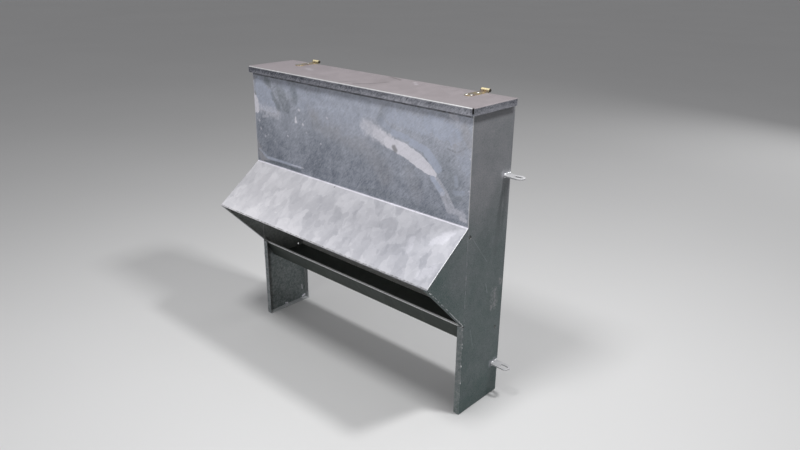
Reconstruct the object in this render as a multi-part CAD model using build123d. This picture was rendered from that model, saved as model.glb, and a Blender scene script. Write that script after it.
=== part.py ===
from build123d import *
import math
import os

# Wall feeder of galvanised sheet steel: a lidded hopper above a hooded trough, on two panel legs.
# Millimetres, +Z up, the front faces -Y, the ground is Z = 0.

# Driving dimensions of the body
BODY_WIDTH = 1000.0
BODY_DEPTH = 203.0
TROUGH_FLOOR_Z = 247.0
TROUGH_DEPTH = 74.0
OPENING_RISE = 193.5
HOOD_RISE = 136.0
HOOD_REACH = 180.0
HOPPER_HEIGHT = 351.2

# Sheet and its folds
SHEET = 2.0
FOLD_RADIUS = 1.0
END_ROUND = 1.2
FLANGE = 18.0
LEG_FLANGE = 22.0
RIM_FLANGE = 15.0
HEM_LENGTH = 12.0
HEM_GAP = 1.0
HEM_ROUNDNESS = 0.9
BACK_EDGE_GAP = 1.2
CHEEK_FOOT_RISE = 5.0

# Trough
TROUGH_FRONT_LEAN = 44.0
LIP_RETURN = 10.0
LIP_GAP = 1.2
TROUGH_UPSTAND = 40.0

# Baffle between the hopper and the head space
BAFFLE_START_DROP = 12.0
BAFFLE_FLANGE = 20.0
BAFFLE_SLOPE = 48.0
THROAT = 55.0
MOUTH_HEIGHT = 88.0

# Vent holes that let the zinc run out of closed corners
VENT_DIAMETER = 7.0
UPPER_VENT_INSET = 10.0
UPPER_VENT_DROP = 31.0
LOWER_VENT_INSET = 30.0
LOWER_VENT_RISE = 8.5

# Lid
LID_SIDE_OVERHANG = 10.0
LID_FRONT_OVERHANG = 14.0
LID_FLANGE = 22.0
LID_CORNER_GAP = 4.0
LID_CORNER_SLIT = 7.0
LID_SEAT_GAP = 0.3
LID_REAR_GAP = 7.0

# Hinges
HINGE_INSET = 113.0
LEAF_WIDTH = 30.0
LEAF_LENGTH = 94.0
LEAF_THICKNESS = 2.5
LEAF_CORNER = 12.0
PIN_DIAMETER = 6.0
PIN_CLEARANCE = 0.05
KNUCKLE_GAP = 0.5
PIN_HEAD_DIAMETER = 10.4
PIN_HEAD_HEIGHT = 2.4

# Rivets of the hinge leaves
RIVET_DIAMETER = 6.0
RIVET_CLEARANCE = 0.1
RIVET_HEAD_DIAMETER = 11.0
RIVET_HEAD_HEIGHT = 2.6
RIVET_TAIL_DIAMETER = 8.6
RIVET_TAIL_HEIGHT = 2.4
RIVET_DIMPLE_DIAMETER = 2.6
RIVET_DIMPLE_DEPTH = 0.9
RIVET_PAIR_REACH = 84.0
RIVET_PAIR_PITCH = 17.5
RIVET_NEAR_REACH = 40.0

# Fixing tabs
TAB_WIDTH = 35.0
TAB_REACH = 63.0
TAB_THICKNESS = 5.0
TAB_REAR_INSET = 4.5
TAB_EDGE_ROUND = 1.0
SLOT_WIDTH = 12.0
SLOT_LENGTH = 30.0
SLOT_REACH = 41.0
LOWER_TAB_Z = 119.0
UPPER_TAB_DROP = 227.0

# Weld beads
TAB_BEAD = 5.0
STITCH_LENGTH = 14.0
STITCH_WIDTH = 5.0
STITCH_HEIGHT = 1.0
STITCH_COUNT = 7
STITCH_END = 20.0
CORNER_BEAD = 4.0
CORNER_BEAD_LENGTH = 30.0
CORNER_BEAD_COUNT = 3
BACK_BEAD_LENGTH = 25.0
BACK_BEAD_COUNT = 6

# Largest miss at which an edge still counts as lying where it is looked for
FIT = 0.01

# Heights and half widths that follow from the driving dimensions
HALF_WIDTH = BODY_WIDTH / 2
INNER_HALF = HALF_WIDTH - SHEET
LIP_Z = TROUGH_FLOOR_Z + TROUGH_DEPTH
NOSE_Z = LIP_Z + OPENING_RISE
BEND_Z = NOSE_Z + HOOD_RISE
RIM_Z = BEND_Z + HOPPER_HEIGHT
LID_TOP_Z = RIM_Z + LID_SEAT_GAP + SHEET
FOLD_OUTER = FOLD_RADIUS + SHEET
RIVET_HOLE_RADIUS = RIVET_DIAMETER / 2 + RIVET_CLEARANCE
KNUCKLE_RADIUS = PIN_DIAMETER / 2 + PIN_CLEARANCE + LEAF_THICKNESS
HEM_RADIUS = SHEET + HEM_GAP / 2
HEM_FOLD = HEM_ROUNDNESS * HEM_GAP / 2

# Direction of the hood, from its bend to its nose, and its normal into the feeder
HOOD_LENGTH = math.hypot(HOOD_REACH, HOOD_RISE)
HOOD_RUN = (-HOOD_REACH / HOOD_LENGTH, -HOOD_RISE / HOOD_LENGTH)
HOOD_NORMAL = (-HOOD_RUN[1], HOOD_RUN[0])

# The frame stands under the middle of the whole outline, from the hood's round nose to the hinge knuckles
NOSE_SHORTFALL = (HEM_FOLD + SHEET) * (HOOD_NORMAL[0] - HOOD_RUN[0] - 1)
FRONT_EXTENT = BODY_DEPTH + HOOD_REACH - NOSE_SHORTFALL
REAR_EXTENT = 2 * KNUCKLE_RADIUS - SHEET
REAR = (FRONT_EXTENT - REAR_EXTENT) / 2


def at(depth, height):
    """The (y, z) place that lies this deep in front of the rear face and this high."""
    return (REAR - depth, height)


def step(point, direction, distance):
    """The (y, z) place reached from a point by going a distance along a direction."""
    return (point[0] + direction[0] * distance, point[1] + direction[1] * distance)


def left_normals(points):
    """The unit normals to the left of each run of an open line of (y, z) points."""
    normals = []
    for first, second in zip(points, points[1:]):
        run = (second[0] - first[0], second[1] - first[1])
        length = math.hypot(*run)
        normals.append((-run[1] / length, run[0] / length))
    return normals


def folded_outline(points, fold_radii):
    """The closed outline of a bent sheet, from the line of its outer face and its inner fold radii."""
    normals = left_normals(points)
    inner = [step(points[0], normals[0], SHEET)]
    outer_radii = []
    inner_radii = []
    for corner, before, after, radius in zip(points[1:-1], normals, normals[1:], fold_radii):
        share = SHEET / (1 + before[0] * after[0] + before[1] * after[1])
        inner.append((corner[0] + (before[0] + after[0]) * share, corner[1] + (before[1] + after[1]) * share))
        turns_to_sheet = before[0] * after[1] - before[1] * after[0] > 0
        outer_radii.append(radius + SHEET if turns_to_sheet else radius)
        inner_radii.append(radius if turns_to_sheet else radius + SHEET)
    inner.append(step(points[-1], normals[-1], SHEET))
    outline = points + inner[::-1]
    radii = [0] + outer_radii + [0, 0] + inner_radii[::-1] + [0]
    return make_face(FilletPolyline(*outline, radius=radii, close=True))


def along_x(face, start, end):
    """A prism of a (y, z) face between two places along X."""
    return extrude(Plane.YZ.offset(start) * face, amount=end - start)


def folded_sheet(points, fold_radii, half_width):
    """A bent sheet that runs across the feeder, as wide to the left as to the right."""
    return along_x(folded_outline(points, fold_radii), -half_width, half_width)


def plate_x(points, start, end):
    """A flat plate with a polygon of (y, z) points as its outline."""
    return along_x(make_face(Polyline(*points, close=True)), start, end)


def block(low, high):
    """A box between two opposite corners."""
    size = [second - first for first, second in zip(low, high)]
    middle = [(first + second) / 2 for first, second in zip(low, high)]
    return Pos(*middle) * Box(*size)


def edges_at(shape, axis, place):
    """The edges along an axis whose middles have the given coordinates, None meaning any."""
    chosen = []
    for edge in shape.edges().filter_by(axis):
        middle = edge.center()
        gaps = [abs(value - goal) for value, goal in zip(middle, place) if goal is not None]
        if max(gaps) < FIT:
            chosen.append(edge)
    return ShapeList(chosen)


def mirrored(shape):
    """The same shape on the other side of the feeder."""
    return mirror(shape, about=Plane.YZ)


def both_sides(shapes):
    """A list of shapes and their mirror images."""
    return list(shapes) + [mirrored(shape) for shape in shapes]


def spread(first, last, count):
    """Evenly spaced places from the first to the last."""
    return [first + (last - first) * index / (count - 1) for index in range(count)]


# Places that several pieces share
FRONT = REAR - BODY_DEPTH
SEAM_Y = FRONT + SHEET
BEND = at(BODY_DEPTH, BEND_Z)
NOSE = at(BODY_DEPTH + HOOD_REACH, NOSE_Z)
HEM_TIP = step(NOSE, HOOD_NORMAL, 2 * HEM_RADIUS)
CHEEK_FOOT = at(BODY_DEPTH, LIP_Z + CHEEK_FOOT_RISE)
BACK_OUTER = REAR - SHEET
BACK_INNER = BACK_OUTER - SHEET
HINGE_Y = BACK_OUTER + KNUCKLE_RADIUS
HINGE_Z = LID_TOP_Z + KNUCKLE_RADIUS
HINGE_X = HALF_WIDTH - HINGE_INSET
BAFFLE_TOP = (SEAM_Y, BEND_Z - BAFFLE_START_DROP)
DROP_Y = BACK_INNER - THROAT - SHEET
DROP_Z = BAFFLE_TOP[1] - (DROP_Y - SEAM_Y) * math.tan(math.radians(BAFFLE_SLOPE))
BAFFLE_FOOT_Z = TROUGH_FLOOR_Z + MOUTH_HEIGHT
TROUGH_UNDER_Z = TROUGH_FLOOR_Z - SHEET
TROUGH_LIP_Y = SEAM_Y + LIP_GAP
TROUGH_BEND_Y = TROUGH_LIP_Y + TROUGH_FRONT_LEAN


def make_front_panel():
    """Front of the hopper and the hood in one sheet, with a rim flange and a closed hem at the nose."""
    points = [
        (FRONT + RIM_FLANGE, RIM_Z),
        (FRONT, RIM_Z),
        BEND,
        NOSE,
        HEM_TIP,
        step(HEM_TIP, HOOD_RUN, -HEM_LENGTH),
    ]
    panel = folded_sheet(points, [FOLD_RADIUS, FOLD_RADIUS, HEM_FOLD, HEM_FOLD], HALF_WIDTH)
    for side in (-1, 1):
        ends = sorted((side * INNER_HALF, side * HALF_WIDTH))
        corner = block((ends[0], SEAM_Y, RIM_Z - 2 * FOLD_OUTER), (ends[1], SEAM_Y + RIM_FLANGE, RIM_Z))
        panel -= corner
    ends = panel.faces().filter_by(Axis.X)
    outer_edges = ShapeList()
    for end in (ends.sort_by(Axis.X)[0], ends.sort_by(Axis.X)[-1]):
        outer_edges += [edge for edge in end.edges() if on_front_face(edge)]
    return fillet(outer_edges, END_ROUND)


def on_front_face(edge):
    """Whether an edge runs down the outer face of the hopper's front or of the hood."""
    middle = edge.center()
    hood_gap = (middle.Y - NOSE[0]) * HOOD_NORMAL[0] + (middle.Z - NOSE[1]) * HOOD_NORMAL[1]
    upright = abs(middle.Y - FRONT) < FIT
    return edge.length > HEM_LENGTH and (upright or abs(hood_gap) < FIT)


def make_back_panel():
    """Flat back sheet with a rim flange, lapped inside the side panels' rear flanges."""
    points = [(BACK_OUTER, TROUGH_UNDER_Z), (BACK_OUTER, RIM_Z), (BACK_OUTER - RIM_FLANGE, RIM_Z)]
    panel = folded_sheet(points, [FOLD_RADIUS], INNER_HALF - BACK_EDGE_GAP)
    for x in (-HINGE_X, HINGE_X):
        for offset, reach in rivet_places():
            panel -= Pos(x + offset, BACK_OUTER, HINGE_Z - reach) * rivet_hole(Axis.Y)
    return panel


def make_trough():
    """Trough in one sheet: returned lip, leaning front, floor and the upstand against the back panel."""
    points = [
        (TROUGH_LIP_Y + LIP_RETURN, LIP_Z),
        (TROUGH_LIP_Y, LIP_Z),
        (TROUGH_BEND_Y, TROUGH_UNDER_Z),
        (BACK_INNER, TROUGH_UNDER_Z),
        (BACK_INNER, TROUGH_FLOOR_Z + TROUGH_UPSTAND),
    ]
    return folded_sheet(points, [FOLD_RADIUS] * 3, INNER_HALF)


def make_baffle():
    """Sloping plate under the hopper with a flange on the front panel and a drop to the feed mouth."""
    points = [
        (SEAM_Y, BEND_Z + BAFFLE_FLANGE),
        BAFFLE_TOP,
        (DROP_Y, DROP_Z),
        (DROP_Y, BAFFLE_FOOT_Z),
    ]
    return folded_sheet(points, [FOLD_RADIUS] * 2, INNER_HALF)


def make_right_side_panel():
    """Side sheet from ground to rim, with rear, leg front and sole flanges turned in."""
    leg_inner = HALF_WIDTH - LEG_FLANGE
    web = plate_x(
        [(REAR, 0), (REAR, RIM_Z), (SEAM_Y, RIM_Z), (SEAM_Y, LIP_Z), (FRONT, LIP_Z), (FRONT, 0)],
        INNER_HALF,
        HALF_WIDTH,
    )
    rear_flange = block((HALF_WIDTH - FLANGE, BACK_OUTER, 0), (HALF_WIDTH, REAR, RIM_Z))
    front_flange = block((leg_inner, FRONT, 0), (HALF_WIDTH, SEAM_Y, LIP_Z))
    sole = block((leg_inner, FRONT, 0), (HALF_WIDTH, REAR, SHEET))
    panel = web + rear_flange + front_flange + sole
    inner_edges = edges_at(panel, Axis.Z, (INNER_HALF, BACK_OUTER, None))
    inner_edges += edges_at(panel, Axis.Z, (INNER_HALF, SEAM_Y, (LIP_Z + SHEET) / 2))
    inner_edges += edges_at(panel, Axis.Y, (INNER_HALF, None, SHEET))
    panel = fillet(inner_edges, FOLD_RADIUS)
    outer_edges = edges_at(panel, Axis.Z, (HALF_WIDTH, REAR, None))
    outer_edges += edges_at(panel, Axis.Z, (HALF_WIDTH, FRONT, None))
    outer_edges += edges_at(panel, Axis.Y, (HALF_WIDTH, None, 0))
    panel = fillet(outer_edges, FOLD_OUTER)
    vents = [
        (SEAM_Y + UPPER_VENT_INSET, BEND_Z - UPPER_VENT_DROP),
        (REAR - LOWER_VENT_INSET, TROUGH_FLOOR_Z + LOWER_VENT_RISE),
    ]
    drill = Rot(0, 90, 0) * Cylinder(VENT_DIAMETER / 2, 2 * FLANGE)
    for y, z in vents:
        panel -= Pos(HALF_WIDTH, y, z) * drill
    return panel


def make_right_cheek(front_panel):
    """Triangular plate under the hood, welded to the side panel, with a flange along the opening."""
    slant = (CHEEK_FOOT[0] - HEM_TIP[0], CHEEK_FOOT[1] - HEM_TIP[1])
    slant_length = math.hypot(*slant)
    run = (slant[0] / slant_length, slant[1] / slant_length)
    into = (-run[1], run[0])
    foot = step(HEM_TIP, run, (SEAM_Y - HEM_TIP[0]) / run[0])
    under_hood = step(step(NOSE, HOOD_NORMAL, SHEET), HOOD_RUN, -HEM_LENGTH)
    seam_top = (SEAM_Y, under_hood[1] + (SEAM_Y - under_hood[0]) * HOOD_RUN[1] / HOOD_RUN[0])
    web = plate_x(
        [
            seam_top,
            under_hood,
            step(HEM_TIP, HOOD_RUN, -HEM_LENGTH),
            step(HEM_TIP, HOOD_RUN, -FOLD_OUTER),
            step(step(HEM_TIP, run, FOLD_OUTER), into, FOLD_OUTER),
            step(foot, into, FOLD_OUTER),
            (SEAM_Y, foot[1] + FOLD_OUTER / into[1]),
        ],
        INNER_HALF,
        HALF_WIDTH,
    )
    across = Plane((0, HEM_TIP[0], HEM_TIP[1]), x_dir=(1, 0, 0), z_dir=(0, run[0], run[1]))
    fold = [(HALF_WIDTH, -2 * FOLD_OUTER), (HALF_WIDTH, 0), (HALF_WIDTH - FLANGE, 0)]
    flange = extrude(across * folded_outline(fold, [FOLD_RADIUS]), amount=math.dist(HEM_TIP, foot))
    behind_seam = block((0, SEAM_Y, 0), (BODY_WIDTH, SEAM_Y + BODY_DEPTH, RIM_Z))
    return web + flange - behind_seam - front_panel


def make_lid():
    """Flat lid with turned-down front and side flanges and open front corners."""
    half = HALF_WIDTH + LID_SIDE_OVERHANG
    front = FRONT - LID_FRONT_OVERHANG
    rear = BACK_OUTER - LID_REAR_GAP
    under = LID_TOP_Z - SHEET
    foot = LID_TOP_Z - LID_FLANGE
    lid = block((-half, front, under), (half, rear, LID_TOP_Z))
    lid += block((-half, front, foot), (half, front + SHEET, LID_TOP_Z))
    for side in (-1, 1):
        ends = sorted((side * (half - SHEET), side * half))
        lid += block((ends[0], front, foot), (ends[1], rear, LID_TOP_Z))
    for side in (-1, 1):
        ends = sorted((side * (half - LID_CORNER_SLIT), side * half))
        lid -= block((ends[0], front, foot), (ends[1], front + LID_CORNER_GAP, LID_TOP_Z))
    lid = fillet(edges_at(lid, Axis.X, (0, front, LID_TOP_Z)), FOLD_OUTER)
    lid = fillet(edges_at(lid, Axis.X, (0, front + SHEET, under)), FOLD_RADIUS)
    for side in (-1, 1):
        lid = fillet(edges_at(lid, Axis.Y, (side * half, None, LID_TOP_Z)), FOLD_OUTER)
        lid = fillet(edges_at(lid, Axis.Y, (side * (half - SHEET), None, under)), FOLD_RADIUS)
    for x in (-HINGE_X, HINGE_X):
        for offset, reach in rivet_places():
            lid -= Pos(x + offset, HINGE_Y - reach, LID_TOP_Z) * rivet_hole(Axis.Z)
    return lid


def rivet_places():
    """The three rivets of a leaf, as offsets across it and reaches from the pin."""
    half_pitch = RIVET_PAIR_PITCH / 2
    return [(-half_pitch, RIVET_PAIR_REACH), (half_pitch, RIVET_PAIR_REACH), (0, RIVET_NEAR_REACH)]


def rivet_hole(axis):
    """A cutter for one rivet hole, long enough to pass a leaf and a sheet both ways."""
    cutter = Cylinder(RIVET_HOLE_RADIUS, 2 * (SHEET + LEAF_THICKNESS))
    return Rot(90, 0, 0) * cutter if axis == Axis.Y else cutter


def make_rivet():
    """One dome-headed blind rivet, its head seated at Z = 0 on a leaf and its tail under the sheet."""
    grip = LEAF_THICKNESS + SHEET
    shank = Pos(0, 0, -grip / 2) * Cylinder(RIVET_DIAMETER / 2, grip)
    head_radius = RIVET_HEAD_DIAMETER / 2
    ball = (head_radius ** 2 + RIVET_HEAD_HEIGHT ** 2) / (2 * RIVET_HEAD_HEIGHT)
    dome = Pos(0, 0, RIVET_HEAD_HEIGHT - ball) * Sphere(ball)
    slab = Pos(0, 0, RIVET_HEAD_HEIGHT) * Cylinder(head_radius, 2 * RIVET_HEAD_HEIGHT)
    tail = Pos(0, 0, -grip - RIVET_TAIL_HEIGHT / 2) * Cylinder(RIVET_TAIL_DIAMETER / 2, RIVET_TAIL_HEIGHT)
    tail = fillet(tail.edges().sort_by(Axis.Z)[0], RIVET_TAIL_HEIGHT / 2)
    dimple = Pos(0, 0, RIVET_HEAD_HEIGHT) * Cylinder(RIVET_DIMPLE_DIAMETER / 2, 2 * RIVET_DIMPLE_DEPTH)
    return shank + (dome & slab) + tail - dimple


def leaf_outline():
    """A leaf's flat outline, with the pin along X at Y = 0 and the round-cornered end towards -Y."""
    half = LEAF_WIDTH / 2
    points = [(-half, 0), (-half, -LEAF_LENGTH), (half, -LEAF_LENGTH), (half, 0)]
    return make_face(FilletPolyline(*points, radius=[0, LEAF_CORNER, LEAF_CORNER, 0], close=True))


def make_leaf(knuckles, gaps):
    """A hinge leaf lying at Z = 0 under its knuckles, with the pin along X above Y = 0.

    knuckles and gaps are (start, end) places along X of its own knuckles and of the other leaf's.
    """
    leaf = extrude(leaf_outline(), amount=LEAF_THICKNESS)
    clear = KNUCKLE_RADIUS + KNUCKLE_GAP
    for start, end in gaps:
        leaf -= block((start, -clear, -clear), (end, clear, clear))
    ring = Pos(0, KNUCKLE_RADIUS) * Circle(KNUCKLE_RADIUS)
    bore = Pos(0, KNUCKLE_RADIUS) * Circle(PIN_DIAMETER / 2 + PIN_CLEARANCE)
    for start, end in knuckles:
        leaf += along_x(ring, start, end)
    leaf -= along_x(bore, -LEAF_WIDTH, LEAF_WIDTH)
    for offset, reach in rivet_places():
        leaf -= Pos(offset, -reach, 0) * rivet_hole(Axis.Z)
    return leaf


def middle_span(margin):
    """The middle third of a hinge along X, made longer by a margin at each end."""
    reach = LEAF_WIDTH / 6 + margin
    return [(-reach, reach)]


def outer_spans(margin):
    """The two outer thirds of a hinge along X, made longer by a margin towards the middle."""
    half = LEAF_WIDTH / 2
    reach = LEAF_WIDTH / 6 - margin
    return [(-half, -reach), (reach, half)]


def make_lid_leaf():
    """Leaf on the lid, placed about the middle of the hinge."""
    leaf = make_leaf(middle_span(-KNUCKLE_GAP / 2), outer_spans(KNUCKLE_GAP / 2))
    return Pos(0, HINGE_Y, LID_TOP_Z) * leaf


def make_body_leaf():
    """Leaf on the back panel, hanging from the pin, placed about the middle of the hinge."""
    leaf = make_leaf(outer_spans(-KNUCKLE_GAP / 2), middle_span(KNUCKLE_GAP / 2))
    hanging = Rot(90, 0, 0) * mirror(leaf, about=Plane.XY)
    return Pos(0, BACK_OUTER, HINGE_Z) * hanging


def make_hinge_pin():
    """Pin through the knuckles with a closed head at each end, placed about the middle of the hinge."""
    half = LEAF_WIDTH / 2
    pin = Rot(0, 90, 0) * Cylinder(PIN_DIAMETER / 2, LEAF_WIDTH)
    for side in (-1, 1):
        head = Cylinder(PIN_HEAD_DIAMETER / 2, PIN_HEAD_HEIGHT)
        head = fillet(head.edges().sort_by(Axis.Z)[-1], PIN_HEAD_HEIGHT / 2)
        pin += Pos(side * (half + PIN_HEAD_HEIGHT / 2), 0, 0) * Rot(0, side * 90, 0) * head
    return Pos(0, HINGE_Y, HINGE_Z) * pin


def make_lid_rivets():
    """Six rivets that hold the lid leaves, heads up."""
    rivets = []
    for x in (-HINGE_X, HINGE_X):
        for offset, reach in rivet_places():
            rivets.append(Pos(x + offset, HINGE_Y - reach, LID_TOP_Z + LEAF_THICKNESS) * make_rivet())
    return rivets


def make_body_rivets():
    """Six rivets that hold the body leaves to the back panel, heads to the rear."""
    rivets = []
    for x in (-HINGE_X, HINGE_X):
        for offset, reach in rivet_places():
            place = Pos(x + offset, BACK_OUTER + LEAF_THICKNESS, HINGE_Z - reach)
            rivets.append(place * Rot(-90, 0, 0) * make_rivet())
    return rivets


TAB_Y = REAR - TAB_REAR_INSET - TAB_WIDTH / 2
TAB_FEET = {"lower": LOWER_TAB_Z - TAB_THICKNESS, "upper": RIM_Z - UPPER_TAB_DROP - TAB_THICKNESS}


def make_right_tab(foot):
    """Flat fixing tab with a round end and a slot along X, standing out from the side panel."""
    half = TAB_WIDTH / 2
    outline = Pos((TAB_REACH - half) / 2, 0) * Rectangle(TAB_REACH - half, TAB_WIDTH)
    outline += Pos(TAB_REACH - half, 0) * Circle(half)
    outline -= Pos(SLOT_REACH, 0) * SlotOverall(SLOT_LENGTH, SLOT_WIDTH)
    tab = extrude(outline, amount=TAB_THICKNESS)
    faces = tab.faces().filter_by(Axis.Z)
    edges = [edge for face in faces for edge in face.edges() if edge.center().X > FIT]
    return Pos(HALF_WIDTH, TAB_Y, foot) * fillet(edges, TAB_EDGE_ROUND)


def quarter_bead(radius, length):
    """A quarter-round bead along Y in the corner of +X and +Z, centred on the origin."""
    bar = Rot(90, 0, 0) * Cylinder(radius, length)
    return bar & block((0, -length, 0), (radius, length, radius))


def make_tab_welds():
    """A bead above and below the root of each tab."""
    above = quarter_bead(TAB_BEAD, TAB_WIDTH - 2 * TAB_EDGE_ROUND)
    below = mirror(above, about=Plane.XY)
    beads = []
    for foot in TAB_FEET.values():
        beads.append(Pos(HALF_WIDTH, TAB_Y, foot + TAB_THICKNESS) * above)
        beads.append(Pos(HALF_WIDTH, TAB_Y, foot) * below)
    return both_sides(beads)


def make_cheek_seam_welds():
    """Low weld stitches outside, along the seam of each side panel and its cheek."""
    half = STITCH_WIDTH / 2
    radius = (half ** 2 + STITCH_HEIGHT ** 2) / (2 * STITCH_HEIGHT)
    bar = Pos(STITCH_HEIGHT - radius, 0, 0) * Cylinder(radius, STITCH_LENGTH)
    stitch = bar & block((0, -half, -STITCH_LENGTH), (STITCH_HEIGHT, half, STITCH_LENGTH))
    first = CHEEK_FOOT[1] + STITCH_END
    last = BEND_Z - STITCH_END
    stitches = [Pos(HALF_WIDTH, SEAM_Y, z) * stitch for z in spread(first, last, STITCH_COUNT)]
    return both_sides(stitches)


def make_baffle_welds():
    """Beads under the sloping part of the baffle, in its corners with the side panels."""
    bead = mirror(quarter_bead(CORNER_BEAD, CORNER_BEAD_LENGTH), about=Plane.YZ)
    bead = mirror(bead, about=Plane.XY)
    slope_length = (DROP_Y - SEAM_Y) / math.cos(math.radians(BAFFLE_SLOPE))
    places = spread(CORNER_BEAD_LENGTH, slope_length - CORNER_BEAD_LENGTH, CORNER_BEAD_COUNT)
    run = (math.cos(math.radians(BAFFLE_SLOPE)), -math.sin(math.radians(BAFFLE_SLOPE)))
    beads = []
    for distance in places:
        y, z = step(BAFFLE_TOP, run, distance)
        beads.append(Pos(INNER_HALF, y, z) * Rot(-BAFFLE_SLOPE, 0, 0) * bead)
    return both_sides(beads)


def make_trough_welds():
    """Beads under the trough floor, in its corners with the side panels."""
    bead = mirror(quarter_bead(CORNER_BEAD, CORNER_BEAD_LENGTH), about=Plane.YZ)
    bead = mirror(bead, about=Plane.XY)
    first = TROUGH_BEND_Y + CORNER_BEAD_LENGTH
    last = BACK_INNER - CORNER_BEAD_LENGTH
    beads = [Pos(INNER_HALF, y, TROUGH_UNDER_Z) * bead for y in spread(first, last, CORNER_BEAD_COUNT)]
    return both_sides(beads)


def make_back_welds():
    """Beads behind the back panel, along the inner edges of the rear flanges."""
    bar = Cylinder(SHEET, BACK_BEAD_LENGTH) & block(
        (-SHEET, 0, -BACK_BEAD_LENGTH), (0, SHEET, BACK_BEAD_LENGTH))
    first = TROUGH_UNDER_Z + BACK_BEAD_LENGTH
    last = RIM_Z - 2 * BACK_BEAD_LENGTH
    heights = spread(first, last, BACK_BEAD_COUNT)
    return both_sides([Pos(HALF_WIDTH - FLANGE, BACK_OUTER, z) * bar for z in heights])


def make_nodes():
    """Every node of the feeder, by name."""
    front_panel = make_front_panel()
    right_side_panel = make_right_side_panel()
    right_cheek = make_right_cheek(front_panel)
    nodes = {
        "front_panel": front_panel,
        "back_panel": make_back_panel(),
        "trough": make_trough(),
        "feed_baffle": make_baffle(),
        "right_side_panel": right_side_panel,
        "left_side_panel": mirrored(right_side_panel),
        "right_cheek": right_cheek,
        "left_cheek": mirrored(right_cheek),
        "lid": make_lid(),
        "lid_rivets": make_lid_rivets(),
        "body_rivets": make_body_rivets(),
        "tab_welds": make_tab_welds(),
        "cheek_seam_welds": make_cheek_seam_welds(),
        "baffle_welds": make_baffle_welds(),
        "trough_welds": make_trough_welds(),
        "back_welds": make_back_welds(),
    }
    for side, x in (("left", -HINGE_X), ("right", HINGE_X)):
        nodes[f"{side}_lid_leaf"] = Pos(x, 0, 0) * make_lid_leaf()
        nodes[f"{side}_body_leaf"] = Pos(x, 0, 0) * make_body_leaf()
        nodes[f"{side}_hinge_pin"] = Pos(x, 0, 0) * make_hinge_pin()
    for level, foot in TAB_FEET.items():
        tab = make_right_tab(foot)
        nodes[f"{level}_right_tab"] = tab
        nodes[f"{level}_left_tab"] = mirrored(tab)
    return nodes


os.makedirs("parts", exist_ok=True)
for name, shape in make_nodes().items():
    solids = shape if isinstance(shape, list) else [shape]
    export_step(Compound([solid for piece in solids for solid in piece.solids()]), f"parts/{name}.step")
print(f"hinge axis at Y {HINGE_Y:.3f}, Z {HINGE_Z:.3f}; rear face at Y {REAR:.3f}; front panel at Y {FRONT:.3f}")
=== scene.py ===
"""Looks of a galvanised hopper feeder with a hinged lid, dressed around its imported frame.

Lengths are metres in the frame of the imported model: +Z up, the feeding side faces -Y, the trough runs
along X. Marks on the sheets are placed in millimetres of that frame.
"""
from __future__ import annotations

import logging
import math
import random
from contextlib import contextmanager
from dataclasses import dataclass
from enum import Enum
from functools import cached_property
from typing import Iterator

import bpy
from mathutils import Matrix, Vector

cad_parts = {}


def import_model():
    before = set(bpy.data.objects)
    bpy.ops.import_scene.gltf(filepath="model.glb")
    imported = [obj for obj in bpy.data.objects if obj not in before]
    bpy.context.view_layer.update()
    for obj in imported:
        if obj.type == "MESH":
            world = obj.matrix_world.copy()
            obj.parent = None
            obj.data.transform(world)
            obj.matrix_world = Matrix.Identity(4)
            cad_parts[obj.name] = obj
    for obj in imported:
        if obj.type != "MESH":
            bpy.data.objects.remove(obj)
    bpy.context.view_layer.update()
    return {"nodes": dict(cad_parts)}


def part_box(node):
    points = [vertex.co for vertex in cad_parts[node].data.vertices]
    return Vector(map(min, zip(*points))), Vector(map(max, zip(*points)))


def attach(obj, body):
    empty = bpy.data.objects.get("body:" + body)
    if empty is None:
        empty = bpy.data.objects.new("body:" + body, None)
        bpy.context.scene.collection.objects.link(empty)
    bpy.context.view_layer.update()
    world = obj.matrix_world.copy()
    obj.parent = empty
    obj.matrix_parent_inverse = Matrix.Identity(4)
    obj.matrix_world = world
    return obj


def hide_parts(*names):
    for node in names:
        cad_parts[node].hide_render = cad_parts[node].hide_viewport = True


LOG = logging.getLogger("feeder")
MM = 0.001
FEEDER_BODY = "feeder_body"
MERGE_GAP = 0.01 * MM
SMOOTH_ANGLE = math.radians(40)

Pair = tuple[float, float]
Triple = tuple[float, float, float]
Socket = bpy.types.NodeSocket
Value = float | Triple | Socket
Material = bpy.types.Material

RIGHT: Triple = (1.0, 0.0, 0.0)
FORWARD: Triple = (0.0, -1.0, 0.0)
BACK: Triple = (0.0, 1.0, 0.0)
UP: Triple = (0.0, 0.0, 1.0)
DOWN: Triple = (0.0, 0.0, -1.0)
UPRIGHT = Matrix.Rotation(math.pi / 2, 4, "X")


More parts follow.
